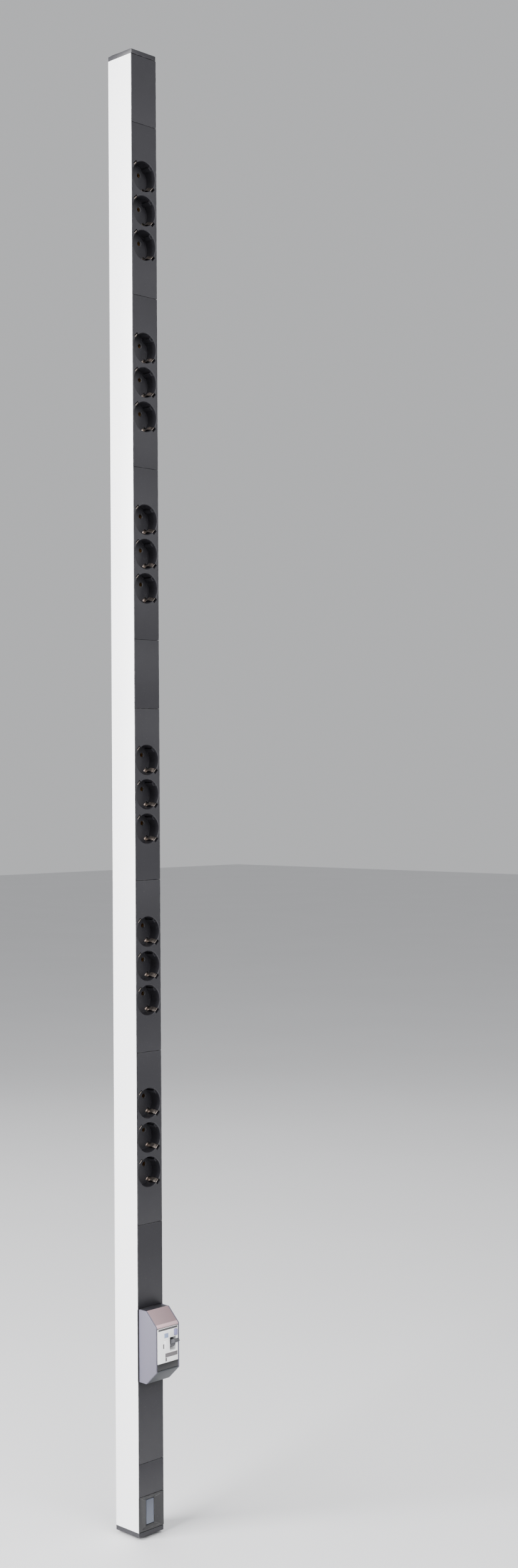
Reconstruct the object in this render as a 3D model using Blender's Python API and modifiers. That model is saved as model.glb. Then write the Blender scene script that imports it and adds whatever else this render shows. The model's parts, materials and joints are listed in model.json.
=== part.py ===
"""Upright rack power strip: eighteen sockets in six modules, a protected feed and a status window.

Metres, +Z up along the strip, sockets facing -Y, the rear mounting face on y = 0 at mid height.
"""

from math import asin, cos, pi, radians, sin, sqrt

import bmesh
import bpy
from mathutils import Matrix, Vector

MM = 0.001

# Aluminium section
STRIP_WIDTH = 44.0 * MM
STRIP_DEPTH = 46.0 * MM
WALL = 1.2 * MM
EDGE_ROUND = 1.6 * MM
END_CAP_THICKNESS = 6.0 * MM

# Fits
GAP = 0.3 * MM
SIDE_CLEARANCE = 0.3 * MM
JOINT_GAP = 0.5 * MM

# Rear slots for the mounting nuts
SLOT_SPACING = 22.0 * MM
SLOT_MOUTH = 6.2 * MM
SLOT_LIP = 1.4 * MM
NUT_WIDTH = 9.4 * MM
NUT_THICKNESS = 1.8 * MM
NUT_LENGTH = 16.0 * MM
NUT_BORE = 2.1 * MM
NUT_FROM_END = 150.0 * MM

# Screw ports along the side walls
SCREW_SHANK = 1.45 * MM
SCREW_HEAD = 2.8 * MM
SCREW_HEAD_HEIGHT = 1.5 * MM
SCREW_LENGTH = 16.0 * MM
PORT_WALL = 1.3 * MM
PORT_INSET = 3.4 * MM

# Front modules and covers
MODULE_DEPTH = 20.0 * MM
RIB = 1.2 * MM
SOCKET_PITCH = 45.0 * MM
SOCKETS_IN_MODULE = 3
BLANK_CELLS = 2
COVER_TOP = 89.0 * MM
COVER_MIDDLE = 90.0 * MM
COVER_FEED_UPPER = 109.0 * MM
BREAKER_ZONE = 95.0 * MM
COVER_FEED_LOWER = 108.0 * MM
COVER_SHORT = 43.0 * MM
INDICATOR_ZONE = 46.0 * MM
COVER_WALL = 2.0 * MM
COVER_SKIRT = 1.5 * MM

# Socket
RECESS_RADIUS = 19.7 * MM
RECESS_DEPTH = 17.5 * MM
PIN_SPACING = 19.0 * MM
PIN_HOLE = 2.75 * MM
SOCKET_TURN = radians(45)
CLIP_WIDTH = 6.0 * MM
CLIP_THICKNESS = 0.8 * MM
CLIP_BULGE = 2.2 * MM
CLIP_TIP_BELOW_FACE = 0.8 * MM
CLIP_TIP_LENGTH = 2.0 * MM
CLIP_FOOT = 1.0 * MM
CLIP_CLEARANCE = 0.5 * MM
POCKET_WALL = 2.0 * MM

# Contact rails
SLEEVE_WIDTH = 6.4 * MM
SLEEVE_HOLE = 4.6 * MM
SLEEVE_DEPTH = 8.0 * MM
RAIL_WIDTH = 5.0 * MM
RAIL_THICKNESS = 1.0 * MM
RAIL_OVERHANG = 14.0 * MM

# Conductors
WIRE_RADIUS = 1.6 * MM
EARTH_WIRE_RADIUS = 1.15 * MM
WIRE_INSERT = 7.0 * MM
FEED_BENDS = (0.35, 0.8)
CROSSING_BENDS = (0.25, 0.5, 0.7)
POLE_BEND = 0.6
STRAIGHT_OUT = 8.0 * MM

# Breaker and its hood
HOOD_PROJECTION = 33.5 * MM
HOOD_LEDGE = 14.0 * MM
HOOD_FRONT = 58.0 * MM
HOOD_WALL = 2.0 * MM
HOOD_SIDE = 2.2 * MM
BREAKER_WIDTH = 35.6 * MM
NOSE_HEIGHT = 45.0 * MM
SHOULDER_PROUD = 13.5 * MM
NOSE_BELOW_SLOPE = 1.2 * MM
SHOULDER_HEIGHT = 82.0 * MM
SHOULDER_FALL = 1.0 * MM
DIN_RAIL_HEIGHT = 35.0 * MM
DIN_RAIL_DEPTH = 7.5 * MM
DIN_RAIL_FLANGE = 4.5 * MM
DIN_RAIL_THICKNESS = 1.0 * MM
TERMINAL_HOLE = 2.6 * MM
TERMINAL_DEPTH = 9.0 * MM

# Toggle, test button and rail latch
TOGGLE_HUB = 5.6 * MM
TOGGLE_WIDTH = 10.0 * MM
TOGGLE_REACH = 15.0 * MM
TOGGLE_THICKNESS = 4.4 * MM
TOGGLE_REST = radians(24)
TOGGLE_SLOT_MARGIN = 3.0 * MM
LEVER_SHOULDER = 0.5 * MM
BUTTON_WIDTH = 5.0 * MM
BUTTON_HEIGHT = 8.0 * MM
BUTTON_DEPTH = 5.0 * MM
BUTTON_PROUD = 1.6 * MM
BUTTON_LAND = 1.5 * MM
BUTTON_STROKE = 1.0 * MM
LATCH_WIDTH = 9.0 * MM
LATCH_THICKNESS = 2.6 * MM
LATCH_LENGTH = 24.0 * MM
LATCH_BITE = 2.0 * MM
HOOK_THICKNESS = 1.4 * MM
HOOK_ROOT = 4.0 * MM
HOOK_SLANT = 1.0 * MM

# Status window
WINDOW_WIDTH = 14.0 * MM
WINDOW_HEIGHT = 33.0 * MM
WINDOW_THICKNESS = 2.6 * MM
WINDOW_SETBACK = 2.5 * MM
DISH_WIDTH = 33.0 * MM
DISH_HEIGHT = 40.0 * MM
BOARD_THICKNESS = 1.6 * MM
BOARD_SETBACK = 13.0 * MM
LAMP_SIZE = 4.0 * MM

# Feed end
BLOCK_DEPTH = 12.0 * MM
BLOCK_LENGTH = 22.0 * MM
BLOCK_PITCH = 11.0 * MM
STUD_RADIUS = 2.4 * MM
STUD_HEIGHT = 8.0 * MM
STUD_COLLAR = 2.0 * MM
STUD_COLLAR_RADIUS = 4.3 * MM
BUSH_HOLE = 6.0 * MM
BUSH_WALL = 2.0 * MM
BUSH_FLANGE = 2.5 * MM
BUSH_PROUD = 2.0 * MM
BUSH_BEHIND_MODULE = 1.5 * MM

ROUND_SIDES = 28
SMALL_SIDES = 10

# Worked-out sizes
INNER_WIDTH = STRIP_WIDTH - 2 * WALL
MODULE_WIDTH = INNER_WIDTH - 2 * SIDE_CLEARANCE
FACE_Y = -STRIP_DEPTH
MODULE_REAR_Y = FACE_Y + MODULE_DEPTH
RIB_Y = MODULE_REAR_Y + GAP
RECESS_FLOOR_Y = FACE_Y + RECESS_DEPTH
MODULE_LENGTH = (SOCKETS_IN_MODULE + BLANK_CELLS) * SOCKET_PITCH
NUT_CAVITY_WIDTH = NUT_WIDTH + 2 * GAP
NUT_CAVITY_DEPTH = NUT_THICKNESS + 2 * GAP
SLOT_FLOOR_Y = -(SLOT_LIP + NUT_CAVITY_DEPTH + WALL)
PORT_X = STRIP_WIDTH / 2 - PORT_INSET
PORT_HOLE = SCREW_SHANK + GAP / 2
PORT_RADIUS = PORT_HOLE + PORT_WALL
HOOD_FRONT_Y = FACE_Y - HOOD_PROJECTION
LEDGE_Y = FACE_Y - HOOD_LEDGE
HOOD_HALF = (BREAKER_ZONE - JOINT_GAP) / 2
FRONT_HALF = HOOD_FRONT / 2

PROFILE_SECTIONS = (
    ("cover_top", COVER_TOP),
    ("socket_module_1", MODULE_LENGTH),
    ("socket_module_2", MODULE_LENGTH),
    ("socket_module_3", MODULE_LENGTH),
    ("cover_middle", COVER_MIDDLE),
    ("socket_module_4", MODULE_LENGTH),
    ("socket_module_5", MODULE_LENGTH),
    ("socket_module_6", MODULE_LENGTH),
    ("cover_feed_upper", COVER_FEED_UPPER),
    ("breaker_carrier", BREAKER_ZONE),
    ("cover_feed_lower", COVER_FEED_LOWER),
    ("cover_short", COVER_SHORT),
    ("indicator_frame", INDICATOR_ZONE),
)
PROFILE_LENGTH = sum(length for _, length in PROFILE_SECTIONS)
PROFILE_TOP = PROFILE_LENGTH / 2
PROFILE_BOTTOM = -PROFILE_TOP

# Outlines drawn along the strip's side view have local X up and local Z across the strip.
SIDE_VIEW = Matrix(((0, 0, -1, 0), (0, 1, 0, 0), (1, 0, 0, 0), (0, 0, 0, 1)))
FACING_OUT = Matrix(((1, 0, 0, 0), (0, 0, -1, 0), (0, 1, 0, 0), (0, 0, 0, 1)))
SOCKET_ROTATION = Matrix.Rotation(SOCKET_TURN, 4, "Y")


def section_spans():
    """Each front section's name with its centre height and length, from the top down."""
    spans = {}
    top = PROFILE_TOP
    for name, length in PROFILE_SECTIONS:
        spans[name] = (top - length / 2, length)
        top -= length
    return spans


SPANS = section_spans()
BREAKER_Z = SPANS["breaker_carrier"][0]


def slope_inner_line():
    """Ends of the hood slope's inner face, as (height, depth) from the hood's centre."""
    run = HOOD_HALF - FRONT_HALF
    rise = LEDGE_Y - HOOD_FRONT_Y
    length = sqrt(run**2 + rise**2)
    shift = (-rise / length * HOOD_WALL, run / length * HOOD_WALL)
    low = (HOOD_HALF + shift[0], LEDGE_Y + shift[1])
    high = (FRONT_HALF + shift[0], HOOD_FRONT_Y + shift[1])
    return low, high


SLOPE_LOW, SLOPE_HIGH = slope_inner_line()
NOSE_Z = BREAKER_Z + SLOPE_HIGH[0] - NOSE_BELOW_SLOPE - NOSE_HEIGHT / 2
BREAKER_TOP = NOSE_Z + SHOULDER_HEIGHT / 2
BREAKER_BOTTOM = NOSE_Z - SHOULDER_HEIGHT / 2
DIN_REAR_Y = SLOT_FLOOR_Y - GAP
DIN_FRONT_Y = DIN_REAR_Y - DIN_RAIL_DEPTH
BREAKER_REAR_Y = DIN_FRONT_Y - GAP
POLE_X = BREAKER_WIDTH / 4
TERMINAL_Y = (MODULE_REAR_Y + BREAKER_REAR_Y) / 2
PORT_Y = BREAKER_REAR_Y + GAP + PORT_RADIUS
DIN_RAIL_LENGTH = 2 * (PORT_X - PORT_RADIUS - GAP)
BUSH_Y = MODULE_REAR_Y + BUSH_BEHIND_MODULE + BUSH_HOLE
TOGGLE_Y = HOOD_FRONT_Y + TOGGLE_HUB + GAP
TOGGLE_SLOT_DEPTH = 2 * TOGGLE_HUB + 2 * GAP
TOGGLE_SLOT_HEIGHT = 2 * (TOGGLE_HUB + TOGGLE_SLOT_MARGIN)
BUTTON_X = BREAKER_WIDTH / 2 - BUTTON_WIDTH / 2 - BUTTON_LAND
BUTTON_Z = NOSE_Z + TOGGLE_SLOT_HEIGHT / 2 + BUTTON_LAND + BUTTON_HEIGHT / 2
BLOCK_Z = SPANS["cover_short"][0]
STUD_Z = SPANS["indicator_frame"][0]


def new_collection(name):
    collection = bpy.data.collections.new(name)
    bpy.context.scene.collection.children.link(collection)
    return collection


def finish(name, colour, roughness, metallic=0.0):
    """A Principled material in the sub-part's colour."""
    material = bpy.data.materials.new(name)
    material.use_nodes = True
    shader = material.node_tree.nodes["Principled BSDF"]
    shader.inputs["Base Color"].default_value = (*colour, 1.0)
    shader.inputs["Roughness"].default_value = roughness
    shader.inputs["Metallic"].default_value = metallic
    material.diffuse_color = (*colour, 1.0)
    return material


def place(name, mesh, material, location=(0, 0, 0), rotation=None):
    """An object of the strip from a mesh, at its place."""
    piece = bpy.data.objects.new(name, mesh)
    PARTS.objects.link(piece)
    if not mesh.materials:
        mesh.materials.append(material)
    if rotation is not None:
        piece.matrix_world = Matrix.Translation(location) @ rotation
    else:
        piece.location = location
    return piece


def add_modifier_cut(piece, cutter_mesh, location=(0, 0, 0), rotation=None, operation="DIFFERENCE"):
    """Cut a piece, or join to it, with a mesh kept among the cutters."""
    cutter = bpy.data.objects.new(f"{piece.name}_{operation.lower()}", cutter_mesh)
    CUTTERS.objects.link(cutter)
    cutter.matrix_world = Matrix.Translation(location) @ (rotation or Matrix.Identity(4))
    cutter.hide_render = True
    cutter.display_type = "WIRE"
    modifier = piece.modifiers.new(operation.title(), "BOOLEAN")
    modifier.operation = operation
    modifier.object = cutter
    return cutter


def baked_mesh(piece):
    """The mesh of a piece with its modifiers applied; the piece and its cutters are then removed."""
    depsgraph = bpy.context.evaluated_depsgraph_get()
    mesh = bpy.data.meshes.new_from_object(piece.evaluated_get(depsgraph))
    cutters = [modifier.object for modifier in piece.modifiers if modifier.type == "BOOLEAN"]
    for item in [piece, *cutters]:
        bpy.data.objects.remove(item)
    return mesh


def box_mesh(name, size, centre=(0, 0, 0), copies=((0, 0, 0),), turn=None):
    """A box, repeated at the given offsets, each copy turned about its own origin."""
    shape = bmesh.new()
    turn = turn or Matrix.Identity(4)
    for offset in copies:
        matrix = Matrix.Translation(offset) @ turn @ Matrix.Translation(centre)
        bmesh.ops.create_cube(shape, size=1.0, matrix=matrix @ Matrix.Diagonal((*size, 1.0)))
    mesh = bpy.data.meshes.new(name)
    shape.to_mesh(mesh)
    shape.free()
    return mesh


def rod_mesh(name, radius, depth, copies=((0, 0, 0),), sides=SMALL_SIDES, axis=FACING_OUT):
    """A closed cylinder along the given axis, repeated at the given offsets."""
    shape = bmesh.new()
    for offset in copies:
        bmesh.ops.create_cone(
            shape,
            cap_ends=True,
            segments=sides,
            radius1=radius,
            radius2=radius,
            depth=depth,
            matrix=Matrix.Translation(offset) @ axis,
        )
    mesh = bpy.data.meshes.new(name)
    shape.to_mesh(mesh)
    shape.free()
    smooth_round(mesh)
    return mesh


def smooth_round(mesh):
    """Smooth shading with the real corners kept sharp."""
    mesh.shade_smooth()
    mesh.set_sharp_from_angle(angle=radians(40))


def curve_mesh(curve):
    """A curve object's solid as a welded mesh facing outwards."""
    guide = bpy.data.objects.new(curve.name, curve)
    CUTTERS.objects.link(guide)
    depsgraph = bpy.context.evaluated_depsgraph_get()
    mesh = bpy.data.meshes.new_from_object(guide.evaluated_get(depsgraph))
    shape = bmesh.new()
    shape.from_mesh(mesh)
    bmesh.ops.remove_doubles(shape, verts=shape.verts, dist=0.001 * MM)
    bmesh.ops.recalc_face_normals(shape, faces=shape.faces)
    shape.to_mesh(mesh)
    shape.free()
    bpy.data.objects.remove(guide)
    return mesh


def outline_mesh(name, loops, thickness):
    """Flat loops, the first the outline and the others its holes, given a thickness along Z."""
    curve = bpy.data.curves.new(name, "CURVE")
    curve.dimensions = "2D"
    curve.fill_mode = "BOTH"
    curve.extrude = thickness / 2
    for loop in loops:
        spline = curve.splines.new("POLY")
        spline.points.add(len(loop) - 1)
        for point, (x, y) in zip(spline.points, loop):
            point.co = (x, y, 0, 1)
        spline.use_cyclic_u = True
    return curve_mesh(curve)


def turned_mesh(name, profile, steps=SMALL_SIDES):
    """A profile of (radius, height) points, top to bottom, turned about Z."""
    mesh = bpy.data.meshes.new(name)
    shape = bmesh.new()
    points = [shape.verts.new((radius, 0, height)) for radius, height in profile]
    for start, end in zip(points, points[1:]):
        shape.edges.new((start, end))
    shape.to_mesh(mesh)
    shape.free()
    guide = bpy.data.objects.new(name, mesh)
    CUTTERS.objects.link(guide)
    screw = guide.modifiers.new("Turned", "SCREW")
    screw.steps = steps
    screw.render_steps = steps
    screw.use_merge_vertices = True
    screw.merge_threshold = 0.001 * MM
    turned = baked_mesh(guide)
    smooth_round(turned)
    return turned


def arc(centre, radius, start, end, steps):
    """Points of an arc in degrees, both ends included."""
    angles = [radians(start + (end - start) * step / steps) for step in range(steps + 1)]
    return [(centre[0] + radius * cos(a), centre[1] + radius * sin(a)) for a in angles]


def ring(centre, radius, sides):
    """A closed circle of points."""
    return arc(centre, radius, 0, 360 - 360 / sides, sides - 1)


def mirrored(points):
    """The points again on the other side of x = 0, in the order that closes the loop."""
    return points + [(-x, y) for x, y in reversed(points)]


def rounded_rectangle(width, front_y, radius, steps=3):
    """The strip's outer outline, from y = 0 to its front."""
    x = width / 2 - radius
    right = arc((x, front_y + radius), radius, -90, 0, steps) + arc((x, -radius), radius, 0, 90, steps)
    return mirrored(right)


def eased_path(points, steps=6):
    """The points joined by S-bends: the height changes evenly, and the rest eases in and out."""
    path = []
    for start, end in zip(points, points[1:]):
        straight = start[:2] == end[:2]
        count = 1 if straight else steps
        for step in range(count):
            t = step / count
            ease = t * t * (3 - 2 * t)
            x = start[0] + (end[0] - start[0]) * ease
            y = start[1] + (end[1] - start[1]) * ease
            z = start[2] + (end[2] - start[2]) * t
            path.append((x, y, z))
    path.append(points[-1])
    return path


def wire_mesh(name, points, radius):
    """A round wire through the points."""
    curve = bpy.data.curves.new(name, "CURVE")
    curve.dimensions = "3D"
    curve.bevel_depth = radius
    curve.bevel_resolution = 2
    curve.use_fill_caps = True
    spline = curve.splines.new("POLY")
    spline.points.add(len(points) - 1)
    for point, place_at in zip(spline.points, points):
        point.co = (*place_at, 1)
    mesh = curve_mesh(curve)
    smooth_round(mesh)
    return mesh


def build_housing():
    """The extruded channel, open at the front, with nut slots behind and screw ports inside."""
    half = STRIP_WIDTH / 2
    inner = INNER_WIDTH / 2
    slot_x = SLOT_SPACING / 2
    mouth = SLOT_MOUTH / 2
    cavity = NUT_CAVITY_WIDTH / 2
    cavity_floor_y = -(SLOT_LIP + NUT_CAVITY_DEPTH)
    wall_angle = 90 - asin((inner - PORT_X) / PORT_RADIUS) * 180 / pi
    outer = [(inner, FACE_Y)]
    outer += arc((half - WALL / 2, FACE_Y + WALL / 2), WALL / 2, -90, 0, 3)
    outer += arc((half - EDGE_ROUND, -EDGE_ROUND), EDGE_ROUND, 0, 90, 3)
    slot = [
        (slot_x + mouth, 0),
        (slot_x + mouth, -SLOT_LIP),
        (slot_x + cavity, -SLOT_LIP),
        (slot_x + cavity, cavity_floor_y),
        (slot_x - cavity, cavity_floor_y),
        (slot_x - cavity, -SLOT_LIP),
        (slot_x - mouth, -SLOT_LIP),
        (slot_x - mouth, 0),
    ]
    inside = [
        (slot_x - cavity - WALL, -WALL),
        (slot_x - cavity - WALL, SLOT_FLOOR_Y),
        (slot_x + cavity + WALL, SLOT_FLOOR_Y),
        (slot_x + cavity + WALL, -WALL),
        (inner, -WALL),
    ]
    port = arc((PORT_X, PORT_Y), PORT_RADIUS, wall_angle, 360 - wall_angle, 8)
    rib = [(inner, RIB_Y + RIB), (inner - RIB, RIB_Y + RIB), (inner - RIB, RIB_Y), (inner, RIB_Y)]
    right = outer + slot
    right_inside = inside + port + rib + [(inner, FACE_Y)]
    left = [(-x, y) for x, y in reversed(right)]
    left_inside = [(-x, y) for x, y in reversed(right_inside)]
    outline = right[1:] + left + left_inside[1:] + right_inside
    holes = []
    for side in (-1, 1):
        holes.append(ring((side * PORT_X, PORT_Y), PORT_HOLE, SMALL_SIDES))
    mesh = outline_mesh("housing_profile", [outline, *holes], PROFILE_LENGTH)
    place("housing_profile", mesh, ALUMINIUM)


def build_slot_nuts():
    """Four nuts that slide in the rear slots, two near each end."""
    head_rear_y = -(SLOT_LIP + GAP)
    head_front_y = head_rear_y - NUT_THICKNESS
    neck = SLOT_MOUTH / 2 - GAP
    right = [(NUT_WIDTH / 2, head_front_y), (NUT_WIDTH / 2, head_rear_y), (neck, head_rear_y), (neck, -GAP)]
    base = place("nut_pattern", outline_mesh("slot_nut", [mirrored(right)], NUT_LENGTH), ZINC)
    bore = rod_mesh("nut_bore", NUT_BORE, 4 * (SLOT_LIP + NUT_THICKNESS))
    add_modifier_cut(base, bore)
    mesh = baked_mesh(base)
    for end, z in (("upper", PROFILE_TOP - NUT_FROM_END), ("lower", PROFILE_BOTTOM + NUT_FROM_END)):
        for side, x in (("left", -SLOT_SPACING / 2), ("right", SLOT_SPACING / 2)):
            place(f"slot_nut_{end}_{side}", mesh, ZINC, (x, 0, z))


def build_end_cap(name, end, with_cable_hole):
    """A flat cap on one end of the channel, with counterbored screw holes."""
    z = end * (PROFILE_TOP + GAP + END_CAP_THICKNESS / 2)
    outline = rounded_rectangle(STRIP_WIDTH, FACE_Y, EDGE_ROUND)
    loops = [outline]
    for side in (-1, 1):
        loops.append(ring((side * PORT_X, PORT_Y), PORT_HOLE, SMALL_SIDES))
    if with_cable_hole:
        hole = BUSH_HOLE + BUSH_WALL + GAP
        loops.append(ring((0, BUSH_Y), hole, ROUND_SIDES))
    cap = place(name, outline_mesh(name, loops, END_CAP_THICKNESS), BLACK_PLASTIC, (0, 0, z))
    sinks = [(side * PORT_X, PORT_Y, end * END_CAP_THICKNESS / 2) for side in (-1, 1)]
    sink_depth = 2 * (SCREW_HEAD_HEIGHT + GAP)
    sink = rod_mesh("head_sink", SCREW_HEAD + GAP, sink_depth, sinks, axis=Matrix.Identity(4))
    add_modifier_cut(cap, sink, (0, 0, z))


def build_cap_screws():
    """Two screws through each end cap into the screw ports."""
    profile = [
        (0, 0),
        (SCREW_HEAD, 0),
        (SCREW_HEAD, -SCREW_HEAD_HEIGHT),
        (SCREW_SHANK, -SCREW_HEAD_HEIGHT),
        (SCREW_SHANK, -SCREW_LENGTH),
        (0, -SCREW_LENGTH),
    ]
    mesh = turned_mesh("cap_screw", profile)
    head_top = PROFILE_TOP + GAP + END_CAP_THICKNESS
    for end, sign in (("top", 1), ("bottom", -1)):
        turn = Matrix.Identity(4) if sign > 0 else Matrix.Rotation(pi, 4, "X")
        for side, x in (("left", -PORT_X), ("right", PORT_X)):
            place(f"cap_screw_{end}_{side}", mesh, STEEL, (x, PORT_Y, sign * head_top), turn)


def socket_heights():
    """Socket centres of one module, measured from the module's centre, from the top down."""
    first = (SOCKETS_IN_MODULE - 1) / 2 * SOCKET_PITCH
    return [first - step * SOCKET_PITCH for step in range(SOCKETS_IN_MODULE)]


def build_socket_modules():
    """Six moulded modules, each with three recesses between two plain cells."""
    length = MODULE_LENGTH - JOINT_GAP
    middle_y = (FACE_Y + MODULE_REAR_Y) / 2
    base = place("module_pattern", box_mesh("socket_module", (MODULE_WIDTH, MODULE_DEPTH, length)), BLACK_PLASTIC)
    centres = [(0, 0, z) for z in socket_heights()]
    recess_depth = 2 * RECESS_DEPTH
    recess = rod_mesh("recess", RECESS_RADIUS, recess_depth, centres, ROUND_SIDES)
    add_modifier_cut(base, recess, (0, -MODULE_DEPTH / 2, 0))
    pin_offset = SOCKET_ROTATION @ Vector((0, 0, PIN_SPACING / 2))
    pins = [Vector(centre) + side * pin_offset for centre in centres for side in (-1, 1)]
    add_modifier_cut(base, rod_mesh("pin_holes", PIN_HOLE, 2 * MODULE_DEPTH, pins))
    inner_radius = RECESS_RADIUS - CLIP_BULGE - CLIP_THICKNESS - CLIP_CLEARANCE
    outer_radius = RECESS_RADIUS + CLIP_THICKNESS + CLIP_CLEARANCE
    for side in (-1, 1):
        slot_centre = (side * (inner_radius + outer_radius) / 2, 0, 0)
        slot_size = (outer_radius - inner_radius, 2 * MODULE_DEPTH, CLIP_WIDTH + 2 * CLIP_CLEARANCE)
        slots = box_mesh("clip_slots", slot_size, slot_centre, centres, SOCKET_ROTATION)
        add_modifier_cut(base, slots)
    pocket_size = (MODULE_WIDTH - 2 * POCKET_WALL, 2 * (MODULE_DEPTH - COVER_WALL), SOCKET_PITCH - 2 * POCKET_WALL)
    pocket_z = (SOCKETS_IN_MODULE + BLANK_CELLS - 1) / 2 * SOCKET_PITCH
    pockets = [(0, MODULE_DEPTH / 2, side * pocket_z) for side in (-1, 1)]
    add_modifier_cut(base, box_mesh("rear_pockets", pocket_size, copies=pockets))
    mesh = baked_mesh(base)
    for name, (z, _) in SPANS.items():
        if name.startswith("socket_module"):
            place(name, mesh, BLACK_PLASTIC, (0, middle_y, z))


def clip_outline():
    """The earth clip's bent strip: two sprung arms and the web that joins them behind the floor."""
    web_y = MODULE_REAR_Y + GAP
    tip_y = FACE_Y + CLIP_TIP_BELOW_FACE
    rest = RECESS_RADIUS - CLIP_THICKNESS / 2
    arm = [
        (rest + CLIP_THICKNESS, tip_y),
        (rest + CLIP_THICKNESS / 2, tip_y + CLIP_TIP_LENGTH),
        (rest - CLIP_BULGE, (FACE_Y + RECESS_FLOOR_Y) / 2),
        (rest, RECESS_FLOOR_Y - CLIP_FOOT),
        (rest, web_y + CLIP_THICKNESS),
    ]
    inner_arm = [(x - CLIP_THICKNESS, y) for x, y in arm[:-1]] + [(rest - CLIP_THICKNESS, web_y)]
    right = inner_arm[::-1] + arm
    return mirrored(right)


def build_contact_rails():
    """Behind each module: one earth rail with its clips, and two rails with contact sleeves."""
    heights = socket_heights()
    span = heights[0] - heights[-1]
    web_y = MODULE_REAR_Y + GAP
    offset = SOCKET_ROTATION @ Vector((0, 0, PIN_SPACING / 2))
    clip = outline_mesh("earth_clip", [clip_outline()], CLIP_WIDTH)
    backbone_size = (RAIL_WIDTH, RAIL_THICKNESS, span + 2 * RAIL_OVERHANG)
    backbone_y = web_y + CLIP_THICKNESS / 2 + RAIL_THICKNESS / 2
    earth = place("earth_pattern", box_mesh("earth_rail", backbone_size, (0, backbone_y, 0)), NICKEL)
    for z in heights:
        add_modifier_cut(earth, clip, (0, 0, z), SOCKET_ROTATION, "UNION")
    earth_mesh = baked_mesh(earth)

    sleeve_y = web_y + SLEEVE_DEPTH / 2
    rail_y = web_y + SLEEVE_DEPTH + RAIL_THICKNESS / 4
    pole = place("pole_pattern", box_mesh("pole_rail", backbone_size, (0, rail_y, 0)), BRASS)
    sleeves = box_mesh(
        "sleeves",
        (SLEEVE_WIDTH, SLEEVE_DEPTH, SLEEVE_WIDTH),
        (0, sleeve_y, 0),
        [(0, 0, z) for z in heights],
    )
    add_modifier_cut(pole, sleeves, operation="UNION")
    holes = box_mesh(
        "sleeve_holes",
        (SLEEVE_HOLE, 2 * SLEEVE_DEPTH - 2 * RAIL_THICKNESS, SLEEVE_HOLE),
        (0, web_y, 0),
        [(0, 0, z) for z in heights],
    )
    add_modifier_cut(pole, holes)
    pole_mesh = baked_mesh(pole)
    for name, (z, _) in SPANS.items():
        if name.startswith("socket_module"):
            number = name.rsplit("_", 1)[1]
            place(f"earth_rail_{number}", earth_mesh, NICKEL, (0, 0, z))
            place(f"live_rail_{number}", pole_mesh, BRASS, (offset.x, 0, z + offset.z))
            place(f"neutral_rail_{number}", pole_mesh, BRASS, (-offset.x, 0, z - offset.z))


def build_cover(name):
    """A plain black cover: a flat face with a skirt down each side wall."""
    z, length = SPANS[name]
    half = MODULE_WIDTH / 2
    right = [
        (half, FACE_Y),
        (half, MODULE_REAR_Y),
        (half - COVER_SKIRT, MODULE_REAR_Y),
        (half - COVER_SKIRT, FACE_Y + COVER_WALL),
    ]
    place(name, outline_mesh(name, [mirrored(right)], length - JOINT_GAP), BLACK_PLASTIC, (0, 0, z))


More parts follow.
